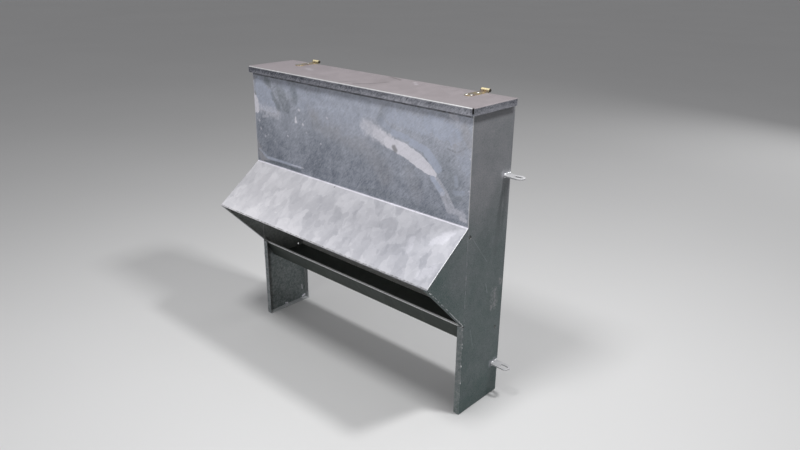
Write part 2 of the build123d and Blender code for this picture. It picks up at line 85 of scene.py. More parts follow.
class Tint(Enum):
    """Colours of the zinc and of the marks on it, as linear red, green and blue."""

    FRONT_DARK = (0.158, 0.182, 0.226)
    FRONT_PALE = (0.66, 0.685, 0.78)
    HOOD_GREY = (0.37, 0.375, 0.415)
    HOOD_WHITE = (0.785, 0.775, 0.81)
    BACK_DARK = (0.34, 0.36, 0.38)
    BACK_PALE = (0.58, 0.59, 0.61)
    # SIDE_DARK is greenish as a painted reflection of a dark green floor.
    SIDE_DARK = (0.04, 0.089, 0.081)
    SIDE_PALE = (0.45, 0.425, 0.465)
    # The trough's tones are very dark as painted shade under the hood.
    TROUGH_SHADE_DARK = (0.034, 0.044, 0.038)
    TROUGH_SHADE_PALE = (0.10, 0.115, 0.104)
    INNER_DARK = (0.56, 0.56, 0.545)
    INNER_PALE = (0.82, 0.82, 0.80)
    LID_DARK = (0.275, 0.248, 0.257)
    LID_PALE = (0.365, 0.326, 0.345)
    FLANGE_DARK = (0.052, 0.057, 0.077)
    FLANGE_PALE = (0.50, 0.505, 0.56)
    TAB_DARK = (0.50, 0.50, 0.515)
    TAB_PALE = (0.75, 0.75, 0.765)
    BLOOM = (0.86, 0.845, 0.92)
    HAZE = (0.585, 0.63, 0.755)
    FILM = (0.46, 0.445, 0.46)
    SLATE = (0.11, 0.138, 0.14)
    # DIRT_AND_SHADE is real grime on the lid, and also painted shade in gaps, holes and corners of the front
    # and the sides.
    DIRT_AND_SHADE = (0.05, 0.047, 0.043)
    # BRIGHT is a painted highlight where it lines folds and edges, and pale thick zinc on the leg flanges.
    BRIGHT = (0.90, 0.90, 0.91)

    @property
    def rgba(self) -> tuple[float, float, float, float]:
        """The colour with full cover."""
        return (*self.value, 1.0)


# Node helper

@dataclass
class NodeDesk:
    """Places shader nodes in one tree and joins them."""

    tree: bpy.types.NodeTree

    def add(self, kind: str, **settings: object) -> bpy.types.Node:
        """Adds a node.

        Args:
            kind: The node's type name.
            settings: Attributes to set on it.

        Returns:
            The new node.
        """
        node = self.tree.nodes.new(kind)
        for name, value in settings.items():
            setattr(node, name, value)
        return node

    def feed(self, socket: Socket, value: Value) -> None:
        """Links a socket to another, or sets its own value.

        Args:
            socket: The input socket.
            value: A socket to link from, or a plain value.
        """
        if isinstance(value, bpy.types.NodeSocket):
            self.tree.links.new(value, socket)
        else:
            socket.default_value = value

    def math(self, way: str, first: Value, second: Value = 0.0) -> Socket:
        """Works out one sum.

        Args:
            way: The operation of the Math node.
            first: The first number.
            second: The second number.

        Returns:
            The result's socket.
        """
        node = self.add("ShaderNodeMath", operation=way)
        self.feed(node.inputs[0], first)
        self.feed(node.inputs[1], second)
        return node.outputs[0]

    def vector(self, way: str, first: Value, second: Value = (0.0, 0.0, 0.0)) -> Socket:
        """Works out one vector sum.

        Args:
            way: The operation of the Vector Math node.
            first: The first vector.
            second: The second vector, or the factor of a SCALE.

        Returns:
            The result's socket, a number for DOT_PRODUCT and LENGTH.
        """
        node = self.add("ShaderNodeVectorMath", operation=way)
        self.feed(node.inputs[0], first)
        if way == "SCALE":
            self.feed(node.inputs["Scale"], second)
        else:
            self.feed(node.inputs[1], second)
        return node.outputs["Value" if way in {"DOT_PRODUCT", "LENGTH"} else "Vector"]

    def span(self, value: Value, low: Value, high: Value, start: Value = 0.0, end: Value = 1.0) -> Socket:
        """Carries a range smoothly over to another, and holds it at the ends.

        Args:
            value: The number to carry over.
            low: Where the range starts.
            high: Where the range ends.
            start: The result at the start.
            end: The result at the end.

        Returns:
            The result's socket.
        """
        node = self.add("ShaderNodeMapRange", interpolation_type="SMOOTHSTEP", clamp=False)
        names = ("Value", "From Min", "From Max", "To Min", "To Max")
        for name, number in zip(names, (value, low, high, start, end)):
            self.feed(node.inputs[name], number)
        return node.outputs["Result"]

    def vary(self, pattern: Socket, least: float, most: float) -> Socket:
        """Carries the usual range of a pattern over to another."""
        return self.span(pattern, 0.2, 0.8, least, most)

    def mix(self, share: Value, first: Value, second: Value, kind: str = "RGBA") -> Socket:
        """Mixes two colours or two numbers.

        Args:
            share: How much of the second one counts.
            first: The colour or number below.
            second: The colour or number above.
            kind: The data type of the Mix node: RGBA for colours, FLOAT for numbers.

        Returns:
            The mixture's socket.
        """
        node = self.add("ShaderNodeMix", data_type=kind, clamp_factor=True)
        self.feed(node.inputs["Factor"], share)
        self.feed(node.inputs["A"], first)
        self.feed(node.inputs["B"], second)
        return node.outputs["Result"]

    def noise(
        self, place: Value, size: float, detail: float = 3.0, rough: float = 0.55, output: str = "Fac"
    ) -> Socket:
        """Cloudy noise.

        Args:
            place: Coordinates in metres.
            size: How large one cloud is, in metres.
            detail: How many finer layers it has.
            rough: How strong the finer layers are.
            output: The output to take: Fac for one number, Color for three.

        Returns:
            The socket of a number about 0.5, or of three.
        """
        node = self.add("ShaderNodeTexNoise")
        self.feed(node.inputs["Vector"], place)
        self.feed(node.inputs["Scale"], 1.0 / size)
        self.feed(node.inputs["Detail"], detail)
        self.feed(node.inputs["Roughness"], rough)
        return node.outputs[output]

    def streaked(self, place: Socket, turn: float, stretch: float) -> Socket:
        """Coordinates for a pattern of streaks in the front's plane.

        Args:
            place: Coordinates in metres.
            turn: How far the streaks are turned about the depth, in degrees.
            stretch: How much longer than wide they are.

        Returns:
            The coordinates' socket.
        """
        node = self.add("ShaderNodeMapping", vector_type="TEXTURE")
        node.inputs["Rotation"].default_value = (0.0, math.radians(turn), 0.0)
        node.inputs["Scale"].default_value = (stretch, 1.0, 1.0)
        self.feed(node.inputs["Vector"], place)
        return node.outputs[0]

    def cells(self, place: Value, size: float, smooth: float = 0.04) -> bpy.types.bpy_prop_collection:
        """Patches like those of crystals.

        Args:
            place: Coordinates in metres.
            size: How large one patch is, in metres.
            smooth: How soft its borders are.

        Returns:
            The sockets of three numbers that differ from patch to patch.
        """
        node = self.add("ShaderNodeTexVoronoi", feature="SMOOTH_F1")
        self.feed(node.inputs["Vector"], place)
        self.feed(node.inputs["Scale"], 1.0 / size)
        self.feed(node.inputs["Smoothness"], smooth)
        return self.split(node.outputs["Color"])

    def split(self, colour: Socket) -> bpy.types.bpy_prop_collection:
        """Splits a colour into its three numbers.

        Args:
            colour: The colour.

        Returns:
            The numbers' sockets.
        """
        node = self.add("ShaderNodeSeparateColor")
        self.feed(node.inputs[0], colour)
        return node.outputs

    def use(self, group: bpy.types.NodeTree, **values: Value) -> bpy.types.Node:
        """Places a node group.

        Args:
            group: The group.
            values: Its inputs, by name with underscores for spaces.

        Returns:
            The group's node.
        """
        node = self.add("ShaderNodeGroup", node_tree=group)
        for name, value in values.items():
            self.feed(node.inputs[name.replace("_", " ")], value)
        return node


# Effects shared by several finishes

@dataclass
class EffectShelf:
    """Builds each shared effect once, as a shader node group, with the sizes of the zinc's patterns."""

    border_size: float = 15 * MM
    thin_size: float = 9 * MM
    thin_shift: Triple = (0.7, 0.3, 0.9)
    flow_size: float = 26 * MM
    flow_reach: float = 36 * MM
    flake_stretch: Triple = (1.0, 0.62, 0.62)
    large_flake: float = 34 * MM
    small_flake: float = 15 * MM
    large_share: float = 0.6
    cloud_size: float = 190 * MM
    mottle_size: float = 34 * MM
    speckle_size: float = 3.6 * MM
    scratch_size: float = 2.6 * MM
    scratch_turn: float = -45.0
    scratch_stretch: float = 6.0
    mottle_shade: float = 0.3
    grain_shade: float = 0.55
    dent_size: float = 170 * MM
    dent_height: float = 1.1 * MM
    flake_height: float = 0.02 * MM
    grain_height: float = 0.05 * MM
    hopper_middle: float = 85 * MM
    inside_reach: float = 4 * MM
    underside_tilt: float = 0.7

    def begin(
        self, name: str, vectors: tuple[str, ...], numbers: tuple[str, ...], gives: tuple[str, ...]
    ) -> tuple[NodeDesk, bpy.types.bpy_prop_collection, bpy.types.bpy_prop_collection]:
        """Starts a node group.

        Args:
            name: The group's name.
            vectors: Those of its inputs that are vectors.
            numbers: Those of its inputs that are numbers.
            gives: Its outputs, all of them numbers.

        Returns:
            The desk for its nodes, the sockets that it is given, and those that it gives.
        """
        tree = bpy.data.node_groups.new(name, "ShaderNodeTree")
        for labels, way, kind in (
                (vectors, "INPUT", "NodeSocketVector"), (numbers, "INPUT", "NodeSocketFloat"),
                (gives, "OUTPUT", "NodeSocketFloat")):
            for label in labels:
                tree.interface.new_socket(label, in_out=way, socket_type=kind)
        desk = NodeDesk(tree)
        return desk, desk.add("NodeGroupInput").outputs, desk.add("NodeGroupOutput").inputs

    @cached_property
    def stroke(self) -> bpy.types.NodeTree:
        """A straight dab with its own width at each end, a ragged border and thin places.

        Returns:
            The node group.
        """
        desk, given, out = self.begin(
            "brush_stroke", ("Place", "Start", "End"),
            ("Start Width", "End Width", "Softness", "Drift", "Ragged", "Cover", "Patchy", "Strength"),
            ("Mask",))
        run = desk.vector("SUBTRACT", given["End"], given["Start"])
        away = desk.vector("SUBTRACT", given["Place"], given["Start"])
        length_squared = desk.vector("DOT_PRODUCT", run, run)
        share = desk.math("DIVIDE", desk.vector("DOT_PRODUCT", away, run), length_squared)
        along = desk.math("MINIMUM", desk.math("MAXIMUM", share, 0.0), 1.0)
        nearest = desk.vector("SCALE", run, along)
        distance = desk.vector("LENGTH", desk.vector("SUBTRACT", away, nearest))
        widening = desk.math("SUBTRACT", given["End Width"], given["Start Width"])
        width = desk.math("ADD", given["Start Width"], desk.math("MULTIPLY", along, widening))
        wander = desk.math("MULTIPLY", given["Drift"], given["Ragged"])
        beyond = desk.math("ADD", desk.math("SUBTRACT", distance, width), wander)
        fade = desk.span(beyond, 0.0, given["Softness"], 1.0, 0.0)
        mask = desk.math("MULTIPLY", fade, given["Strength"])
        thin = desk.math("MULTIPLY", desk.math("SUBTRACT", 1.0, given["Cover"]), given["Patchy"])
        desk.feed(out["Mask"], desk.math("MULTIPLY", mask, desk.math("SUBTRACT", 1.0, thin)))
        return desk.tree

    @cached_property
    def clouds(self) -> bpy.types.NodeTree:
        """The cloudy look of hot-dip zinc: broad clouds, mottling, spangle flakes, fine grain and relief.

        Returns:
            The node group.
        """
        desk, given, out = self.begin(
            "zinc_clouds", ("Place",), ("Cloud Share", "Mottle Share", "Spangle Share", "Grain Share"),
            ("Tone", "Spangle", "Drift", "Cover", "Shade", "Height"))
        place = given["Place"]
        drift = desk.math("SUBTRACT", desk.noise(place, self.border_size, 5.0, 0.68), 0.5)
        shifted = desk.vector("ADD", place, self.thin_shift)
        cover = desk.span(desk.noise(shifted, self.thin_size, 4.0, 0.7), 0.38, 0.62)
        flow = desk.noise(place, self.flow_size, 3.0, 0.5, "Color")
        bent = desk.vector("ADD", place, desk.vector("SCALE", flow, self.flow_reach))
        bent = desk.vector("MULTIPLY", bent, self.flake_stretch)
        large = desk.math("MULTIPLY", desk.cells(bent, self.large_flake)[0], self.large_share)
        small = desk.math("MULTIPLY", desk.cells(bent, self.small_flake)[1], 1.0 - self.large_share)
        spangle = desk.math("ADD", large, small)
        cloud = desk.math("SUBTRACT", desk.noise(place, self.cloud_size, 2.0, 0.45), 0.5)
        mottle = desk.math("SUBTRACT", desk.noise(place, self.mottle_size, 4.0, 0.65), 0.5)
        flake = desk.math("SUBTRACT", spangle, 0.5)
        speckle = desk.noise(place, self.speckle_size, 3.0, 0.8)
        streaks = desk.streaked(place, self.scratch_turn, self.scratch_stretch)
        scratch = desk.noise(streaks, self.scratch_size, 2.0, 0.6)
        grain = desk.math("MULTIPLY", desk.math("ADD", speckle, scratch), 0.5)
        grain = desk.math("SUBTRACT", grain, 0.5)
        tone: Value = 0.5
        for layer, label in ((cloud, "Cloud"), (mottle, "Mottle"), (flake, "Spangle"), (grain, "Grain")):
            tone = desk.math("ADD", tone, desk.math("MULTIPLY", layer, given[label + " Share"]))
        shade: Value = 1.0
        for layer, share in ((mottle, self.mottle_shade), (grain, self.grain_shade)):
            shade = desk.math("ADD", shade, desk.math("MULTIPLY", layer, share))
        height: Value = 0.0
        dents = desk.noise(place, self.dent_size, 1.0)
        for layer, rise in (
                (dents, self.dent_height), (spangle, self.flake_height), (grain, self.grain_height)):
            height = desk.math("ADD", height, desk.math("MULTIPLY", layer, rise))
        results = (tone, spangle, drift, cover, shade, height)
        for label, socket in zip(("Tone", "Spangle", "Drift", "Cover", "Shade", "Height"), results):
            desk.feed(out[label], socket)
        return desk.tree

    @cached_property
    def specks(self) -> bpy.types.NodeTree:
        """Scattered round specks of uneven size.

        Returns:
            The node group.
        """
        desk, given, out = self.begin("zinc_specks", ("Place",), ("Pitch", "Share", "Radius"), ("Mask",))
        node = desk.add("ShaderNodeTexVoronoi")
        desk.feed(node.inputs["Vector"], given["Place"])
        desk.feed(node.inputs["Scale"], desk.math("DIVIDE", 1.0, given["Pitch"]))
        chance = desk.split(node.outputs["Color"])
        chosen = desk.math("LESS_THAN", chance[0], given["Share"])
        reach = desk.math("MULTIPLY", given["Radius"], desk.math("ADD", 0.4, chance[1]))
        reach = desk.math("DIVIDE", reach, given["Pitch"])
        dot = desk.span(node.outputs["Distance"], desk.math("MULTIPLY", reach, 0.5), reach, 1.0, 0.0)
        desk.feed(out["Mask"], desk.math("MULTIPLY", chosen, dot))
        return desk.tree

    @cached_property
    def inward(self) -> bpy.types.NodeTree:
        """Where a sheet faces the inside of the feeder, or straight down.

        Returns:
            The node group.
        """
        desk, given, out = self.begin("inward_faces", ("Place",), (), ("Mask",))
        normal = desk.add("ShaderNodeTexCoord").outputs["Normal"]
        from_middle = desk.vector("SUBTRACT", given["Place"], (0.0, self.hopper_middle, 0.0))
        level = desk.vector("MULTIPLY", from_middle, (1.0, 1.0, 0.0))
        outward = desk.vector("DOT_PRODUCT", level, normal)
        inside = desk.math("LESS_THAN", outward, -self.inside_reach)
        below = desk.math("LESS_THAN", desk.vector("DOT_PRODUCT", normal, UP), -self.underside_tilt)
        desk.feed(out["Mask"], desk.math("MAXIMUM", inside, below))
        return desk.tree


SHELF = EffectShelf()


# Finishes

class Mark(Enum):
    """Kinds of marks on the zinc, from the lowest layer up: colour, metallic share and roughness."""

    FILM = (Tint.FILM, 0.4, 0.6)
    HAZE = (Tint.HAZE, 0.5, 0.55)
    SLATE = (Tint.SLATE, 0.7, 0.5)
    BLOOM = (Tint.BLOOM, 0.15, 0.62)
    # DIRT_AND_SHADE marks are real smudges, and also painted shade where gaps, holes and corners lie in
    # shadow.
    DIRT_AND_SHADE = (Tint.DIRT_AND_SHADE, 0.2, 0.7)
    # BRIGHT marks are painted highlights along folds and edges, and pale thick zinc on the leg flanges.
    BRIGHT = (Tint.BRIGHT, 0.7, 0.38)


class Side(Enum):
    """Which faces of a sheet a mark lies on."""

    BOTH = "both"
    OUTSIDE = "outside"
    INSIDE = "inside"


@dataclass(frozen=True)
class Stroke:
    """One mark on a sheet, from start to end, in metres.

    The widths are half widths, ragged is how far the border wanders, and patchy is how thin the mark gets
    in places.
    """

    kind: Mark
    start: Triple
    end: Triple
    start_width: float
    end_width: float
    softness: float
    ragged: float = 0.0
    strength: float = 1.0
    patchy: float = 0.0
    side: Side = Side.OUTSIDE
    flatten: Triple = (1.0, 1.0, 1.0)


class Plane(Enum):
    """The planes that flat marks are placed in, by the axes that count there."""

    FRONT = (0, 2)
    SIDE = (1, 2)
    TOP = (0, 1)

    @property
    def flatten(self) -> Triple:
        """A factor for each axis that drops the one across the plane."""
        return tuple(1.0 if axis in self.value else 0.0 for axis in range(3))

    def point(self, pair: Pair) -> Triple:
        """The place, in metres, of a pair of millimetres in the plane."""
        numbers = dict(zip(self.value, pair))
        return tuple(numbers.get(axis, 0.0) * MM for axis in range(3))

    def mark(
        self, kind: Mark, start: Pair, end: Pair, widths: Pair, soft: float, ragged: float,
        strength: float, patchy: float = 0.0, side: Side = Side.OUTSIDE
    ) -> Stroke:
        """One mark in the plane, with all its lengths in millimetres.

        Args:
            kind: The kind of mark.
            start: Where it starts.
            end: Where it ends.
            widths: Its half widths at the start and at the end.
            soft: How wide its border fades.
            ragged: How far its border wanders.
            strength: How much it covers.
            patchy: How thin it gets in places.
            side: The faces that it lies on.

        Returns:
            The mark.
        """
        return Stroke(
            kind, self.point(start), self.point(end), widths[0] * MM, widths[1] * MM, soft * MM,
            ragged * MM, strength, patchy, side, self.flatten)

    def marks(self, kind: Mark, *rows: tuple) -> tuple[Stroke, ...]:
        """Several marks of one kind, each from a row of what mark takes after the kind."""
        return tuple(self.mark(kind, *row) for row in rows)

    def spots(self, kind: Mark, *rows: tuple[float, float, float, float]) -> tuple[Stroke, ...]:
        """Several small round spots, each from its place, radius and strength.

        Args:
            kind: The kind of mark.
            rows: Across, along and radius in millimetres, and the strength.

        Returns:
            The spots.
        """
        return self.marks(kind, *(
            ((x, z), (x + radius, z - radius / 2), (radius, radius * 0.8), radius, 10.0, strength)
            for x, z, radius, strength in rows))


@dataclass(frozen=True)
class Slope:
    """A tone that shifts from one side of a sheet to the other, along a direction."""

    direction: Triple
    start: float
    end: float
    low: float
    high: float


@dataclass(frozen=True)
class Coat:
    """One coat of zinc: two tones, what mixes them, and how the mixture shifts across the sheet."""

    dark: Tint
    pale: Tint
    clouds: float = 0.0
    mottle: float = 0.0
    spangle: float = 0.0
    grain: float = 0.0
    slopes: tuple[Slope, ...] = ()


@dataclass(frozen=True)
class ZincFinish:
    """Hot-dip zinc on sheet: a coat, another coat in a zone of its own, and marks on top."""

    name: str
    coat: Coat
    metallic: float = 0.62
    roughness: float = 0.46
    zone: Slope | None = None
    zone_coat: Coat | None = None
    marks: tuple[Stroke, ...] = ()
    white_specks: float = 0.0
    speck_pitch: float = 26 * MM
    speck_radius: float = 2.2 * MM
    unevenness: float = 0.05
    inner: bool = False

    def material(self) -> Material:
        """Builds the finish.

        Returns:
            The material.
        """
        material, desk, shader, place = begin_material(self.name)
        zinc, colour = self.lay_coat(desk, place, self.coat)
        if self.zone is not None and self.zone_coat is not None:
            other = self.lay_coat(desk, place, self.zone_coat)[1]
            colour = desk.mix(self.share(desk, place, self.zone), colour, other)
        metallic: Value = self.metallic
        smoothest, roughest = self.roughness - self.unevenness, self.roughness + self.unevenness
        roughness = desk.vary(zinc.outputs["Spangle"], smoothest, roughest)
        inward = desk.use(SHELF.inward, Place=place).outputs["Mask"]
        if self.inner:
            inside = desk.mix(zinc.outputs["Tone"], Tint.INNER_DARK.rgba, Tint.INNER_PALE.rgba)
            colour = desk.mix(inward, colour, inside)
        if self.white_specks > 0.0:
            specks = desk.use(
                SHELF.specks, Place=place, Pitch=self.speck_pitch, Share=self.white_specks,
                Radius=self.speck_radius)
            colour = desk.mix(specks.outputs["Mask"], colour, Tint.BLOOM.rgba)
        faces = {Side.INSIDE: inward, Side.OUTSIDE: desk.math("SUBTRACT", 1.0, inward)}
        planes: dict[Triple, Socket] = {}
        for mark in self.marks:
            if mark.flatten not in planes:
                planes[mark.flatten] = desk.vector("MULTIPLY", place, mark.flatten)
        for kind in Mark:
            cover: Value = 0.0
            for mark in self.marks:
                if mark.kind is kind:
                    laid = self.lay(desk, mark, planes[mark.flatten], zinc, faces)
                    cover = desk.math("MAXIMUM", cover, laid)
            if cover == 0.0:
                continue
            tint, mark_metallic, mark_roughness = kind.value
            shaded = desk.vector("SCALE", tint.value, zinc.outputs["Shade"])
            colour = desk.mix(cover, colour, shaded)
            metallic = desk.mix(cover, metallic, mark_metallic, "FLOAT")
            roughness = desk.mix(cover, roughness, mark_roughness, "FLOAT")
        finish_shader(desk, shader, colour, metallic, roughness, zinc.outputs["Height"])
        return material

    def share(self, desk: NodeDesk, place: Socket, slope: Slope) -> Socket:
        """The value of a slope at a place."""
        reach = desk.vector("DOT_PRODUCT", place, slope.direction)
        return desk.span(reach, slope.start, slope.end, slope.low, slope.high)

    def lay_coat(self, desk: NodeDesk, place: Socket, coat: Coat) -> tuple[bpy.types.Node, Socket]:
        """Lays one coat of zinc.

        Args:
            desk: The material's desk.
            place: Coordinates in metres.
            coat: The coat.

        Returns:
            The node of the cloudy effect, and the coat's colour.
        """
        zinc = desk.use(
            SHELF.clouds, Place=place, Cloud_Share=coat.clouds, Mottle_Share=coat.mottle,
            Spangle_Share=coat.spangle, Grain_Share=coat.grain)
        tone = zinc.outputs["Tone"]
        for slope in coat.slopes:
            tone = desk.math("ADD", tone, self.share(desk, place, slope))
        return zinc, desk.mix(tone, coat.dark.rgba, coat.pale.rgba)

    def lay(
        self, desk: NodeDesk, mark: Stroke, place: Socket, zinc: bpy.types.Node, faces: dict[Side, Socket]
    ) -> Socket:
        """Lays one mark.

        Args:
            desk: The material's desk.
            mark: The mark.
            place: Coordinates in the mark's plane.
            zinc: The node of the cloudy effect, for uneven borders and thin places.
            faces: Masks of the inner and of the outer faces.

        Returns:
            The mark's mask.
        """
        node = desk.use(
            SHELF.stroke, Place=place, Start=mark.start, End=mark.end, Start_Width=mark.start_width,
            End_Width=mark.end_width, Softness=mark.softness, Drift=zinc.outputs["Drift"],
            Ragged=mark.ragged, Cover=zinc.outputs["Cover"], Patchy=mark.patchy, Strength=mark.strength)
        if mark.side is Side.BOTH:
            return node.outputs["Mask"]
        return desk.math("MULTIPLY", node.outputs["Mask"], faces[mark.side])


def begin_material(name: str) -> tuple[Material, NodeDesk, bpy.types.Node, Socket]:
    """Starts a material.

    Args:
        name: The material's name.

    Returns:
        The material, the desk for its nodes, its shader and its coordinates in metres.
    """
    material = bpy.data.materials.new(name)
    material.use_nodes = True
    desk = NodeDesk(material.node_tree)
    shader = material.node_tree.nodes["Principled BSDF"]
    place = desk.add("ShaderNodeTexCoord").outputs["Object"]
    return material, desk, shader, place


def finish_shader(
    desk: NodeDesk, shader: bpy.types.Node, colour: Value, metallic: Value, roughness: Value, height: Socket
) -> None:
    """Feeds a finish to its shader.

    Args:
        desk: The material's desk.
        shader: The material's shader.
        colour: The colour.
        metallic: How metallic it is.
        roughness: How rough it is.
        height: Its relief, in metres.
    """
    bump = desk.add("ShaderNodeBump")
    desk.feed(bump.inputs["Height"], height)
    desk.feed(bump.inputs["Distance"], 1.0)
    desk.feed(shader.inputs["Base Color"], colour)
    desk.feed(shader.inputs["Metallic"], metallic)
    desk.feed(shader.inputs["Roughness"], roughness)
    desk.feed(shader.inputs["Normal"], bump.outputs["Normal"])


@dataclass(frozen=True)
class YellowZinc:
    """Yellow passivated zinc: gold that shades into rose and olive, with a painted highlight on the knuckle
    tops.
    """

    name: str = "yellow_zinc"
    gold: Triple = (0.74, 0.60, 0.32)
    rose: Triple = (0.50, 0.40, 0.35)
    rose_size: float = 26 * MM
    olive: Triple = (0.52, 0.50, 0.34)
    olive_size: float = 15 * MM
    olive_shift: Triple = (1.7, 0.4, 2.1)
    # worn is the colour of a painted highlight on the knuckle tops
    worn: Triple = (0.90, 0.79, 0.48)
    highlight_heights: Pair = (1008 * MM, 1013 * MM)
    highlight_share: float = 0.85
    highlight_metallic: float = 0.4
    metallic: float = 0.95
    roughness: Pair = (0.24, 0.4)
    grain_size: float = 1.4 * MM
    grain_height: float = 0.04 * MM

    def material(self) -> Material:
        """Builds the finish.

        Returns:
            The material.
        """
        material, desk, shader, place = begin_material(self.name)
        rosy = desk.span(desk.noise(place, self.rose_size, 2.0), 0.38, 0.6)
        shifted = desk.vector("ADD", place, self.olive_shift)
        greenish = desk.span(desk.noise(shifted, self.olive_size, 3.0), 0.48, 0.68)
        height = desk.vector("DOT_PRODUCT", place, UP)
        # painted highlight: the knuckle tops are paler and less metallic
        worn = desk.span(height, *self.highlight_heights, 0.0, self.highlight_share)
        colour = desk.mix(rosy, (*self.gold, 1.0), (*self.rose, 1.0))
        colour = desk.mix(greenish, colour, (*self.olive, 1.0))
        colour = desk.mix(worn, colour, (*self.worn, 1.0))
        metallic = desk.span(height, *self.highlight_heights, self.metallic, self.highlight_metallic)
        grain = desk.noise(place, self.grain_size, 2.0)
        roughness = desk.vary(grain, *self.roughness)
        relief = desk.math("MULTIPLY", grain, self.grain_height)
        finish_shader(desk, shader, colour, metallic, roughness, relief)
        return material


@dataclass(frozen=True)
class PlainSteel:
    """Small steel parts: one tone with fine scratches and darker flecks."""

    name: str
    tone: Triple
    fleck: Triple
    roughness: Pair
    fleck_size: float = 2.5 * MM
    scratch_size: float = 1.6 * MM
    scratch_squeeze: Triple = (1.0, 6.0, 1.0)
    scratch_height: float = 0.03 * MM

    def material(self) -> Material:
        """Builds the finish.

        Returns:
            The material.
        """
        material, desk, shader, place = begin_material(self.name)
        flecks = desk.span(desk.noise(place, self.fleck_size, 3.0), 0.5, 0.72)
        colour = desk.mix(flecks, (*self.tone, 1.0), (*self.fleck, 1.0))
        squeezed = desk.vector("MULTIPLY", place, self.scratch_squeeze)
        scratches = desk.noise(squeezed, self.scratch_size, 2.0)
        roughness = desk.vary(scratches, *self.roughness)
        relief = desk.math("MULTIPLY", scratches, self.scratch_height)
        finish_shader(desk, shader, colour, 1.0, roughness, relief)
        return material


# Modelling helpers

def clear_selection() -> None:
    """Deselects everything, in object mode."""
    if bpy.context.mode != "OBJECT":
        bpy.ops.object.mode_set(mode="OBJECT")
    bpy.ops.object.select_all(action="DESELECT")


def activate(thing: bpy.types.Object) -> None:
    """Selects one object alone and makes it active.

    Args:
        thing: The object.
    """
    clear_selection()
    thing.select_set(True)
    bpy.context.view_layer.objects.active = thing


@contextmanager
def editing(thing: bpy.types.Object) -> Iterator[None]:
    """Keeps an object in edit mode, with all of it selected at the start.

    Args:
        thing: The object.

    Yields:
        Nothing, once, while the object is in edit mode.
    """
    activate(thing)
    bpy.ops.object.mode_set(mode="EDIT")
    bpy.ops.mesh.select_all(action="SELECT")
    yield
    bpy.ops.object.mode_set(mode="OBJECT")


def added(name: str) -> bpy.types.Object:
    """Names the object that an operator has just added.

    Args:
        name: The object's name.

    Returns:
        The object.
    """
    thing = bpy.context.view_layer.objects.active
    thing.name = name
    return thing


def along(run: Vector) -> Matrix:
    """The turn that lays a shape that is long along +Y along a direction."""
    return Vector(BACK).rotation_difference(run.normalized()).to_matrix().to_4x4()


def copies_at(model: bpy.types.Object, places: list[Matrix], name: str) -> bpy.types.Object:
    """Copies a modelled shape to its places and joins the copies.

    Args:
        model: The shape, which is deleted afterwards.
        places: Where each copy goes.
        name: The joined piece's name.

    Returns:
        The joined piece, with its place in its mesh.
    """
    made = []
    for place in places:
        copy = model.copy()
        copy.data = model.data.copy()
        copy.data.transform(place)
        if place.determinant() < 0:
            copy.data.flip_normals()
        bpy.context.scene.collection.objects.link(copy)
        made.append(copy)
    bpy.data.objects.remove(model)
    activate(made[0])
    for copy in made:
        copy.select_set(True)
    bpy.ops.object.join()
    piece = added(name)
    piece.data.name = name
    bpy.ops.object.shade_smooth_by_angle(angle=SMOOTH_ANGLE)
    return piece


@dataclass(frozen=True)
class RippledBar:
    """An uneven round run of metal along +Y, centred on the origin, as a torch or a zinc bath leaves it."""

    radius: float
    length: float
    step: float
    ripple: float
    jitter: float
    seed: int
    sides: int = 14
    end_share: float = 0.45
    cut_wall: bool = False
    cut_plate: bool = False

    def build(self, name: str) -> bpy.types.Object:
        """Models the bar ring by ring.

        Args:
            name: The object's name.

        Returns:
            The bar.
        """
        draw = random.Random(self.seed)
        clear_selection()
        bpy.ops.mesh.primitive_circle_add(
            vertices=self.sides, radius=self.radius, fill_type="NGON", rotation=(math.pi / 2, 0, 0),
            location=(0, -self.length / 2, 0))
        bar = added(name)
        bpy.ops.object.transform_apply(location=True, rotation=True, scale=True)
        rings = max(3, round(self.length / self.step))
        pace = self.length / rings
        size = 1.0
        with editing(bar):
            for ring in range(rings + 1):
                if ring > 0:
                    bpy.ops.mesh.extrude_region_move(TRANSFORM_OT_translate={"value": (0, pace, 0)})
                wanted = self.ring_size(ring, rings, draw)
                bpy.ops.transform.resize(value=(wanted / size, 1, wanted / size))
                size = wanted
            bpy.ops.mesh.select_all(action="SELECT")
            bpy.ops.mesh.normals_make_consistent(inside=False)
            for cut, across in ((self.cut_wall, RIGHT), (self.cut_plate, UP)):
                if cut:
                    bpy.ops.mesh.bisect(plane_co=(0, 0, 0), plane_no=across, clear_inner=True, use_fill=True)
                    bpy.ops.mesh.select_all(action="SELECT")
        return bar

    def ring_size(self, ring: int, rings: int, draw: random.Random) -> float:
        """How wide one ring is.

        Args:
            ring: The ring's number.
            rings: How many there are after the first.
            draw: The bar's own random numbers.

        Returns:
            The ring's share of the radius.
        """
        wave = 1.0 - self.ripple * (ring % 2)
        ends = self.end_share if ring in (0, rings) else 1.0
        return wave * ends * (1.0 + draw.uniform(-self.jitter, self.jitter))


@dataclass(frozen=True)
class ZincLump:
    """A small uneven lump of zinc, long along +Y, about the origin."""

    radius: float
    stretch: float
    seed: int
    unevenness: float = 0.4
    smoothing: float = 0.4
    flatness: float = 0.9

    def build(self, name: str) -> bpy.types.Object:
        """Models the lump from a ball.

        Args:
            name: The object's name.

        Returns:
            The lump.
        """
        clear_selection()
        bpy.ops.mesh.primitive_ico_sphere_add(subdivisions=2, radius=self.radius)
        lump = added(name)
        with editing(lump):
            bpy.ops.transform.vertex_random(offset=self.unevenness * self.radius, seed=self.seed)
            bpy.ops.mesh.vertices_smooth(factor=self.smoothing)
            bpy.ops.transform.resize(value=(1.0, self.stretch, self.flatness))
            bpy.ops.mesh.normals_make_consistent(inside=False)
        return lump


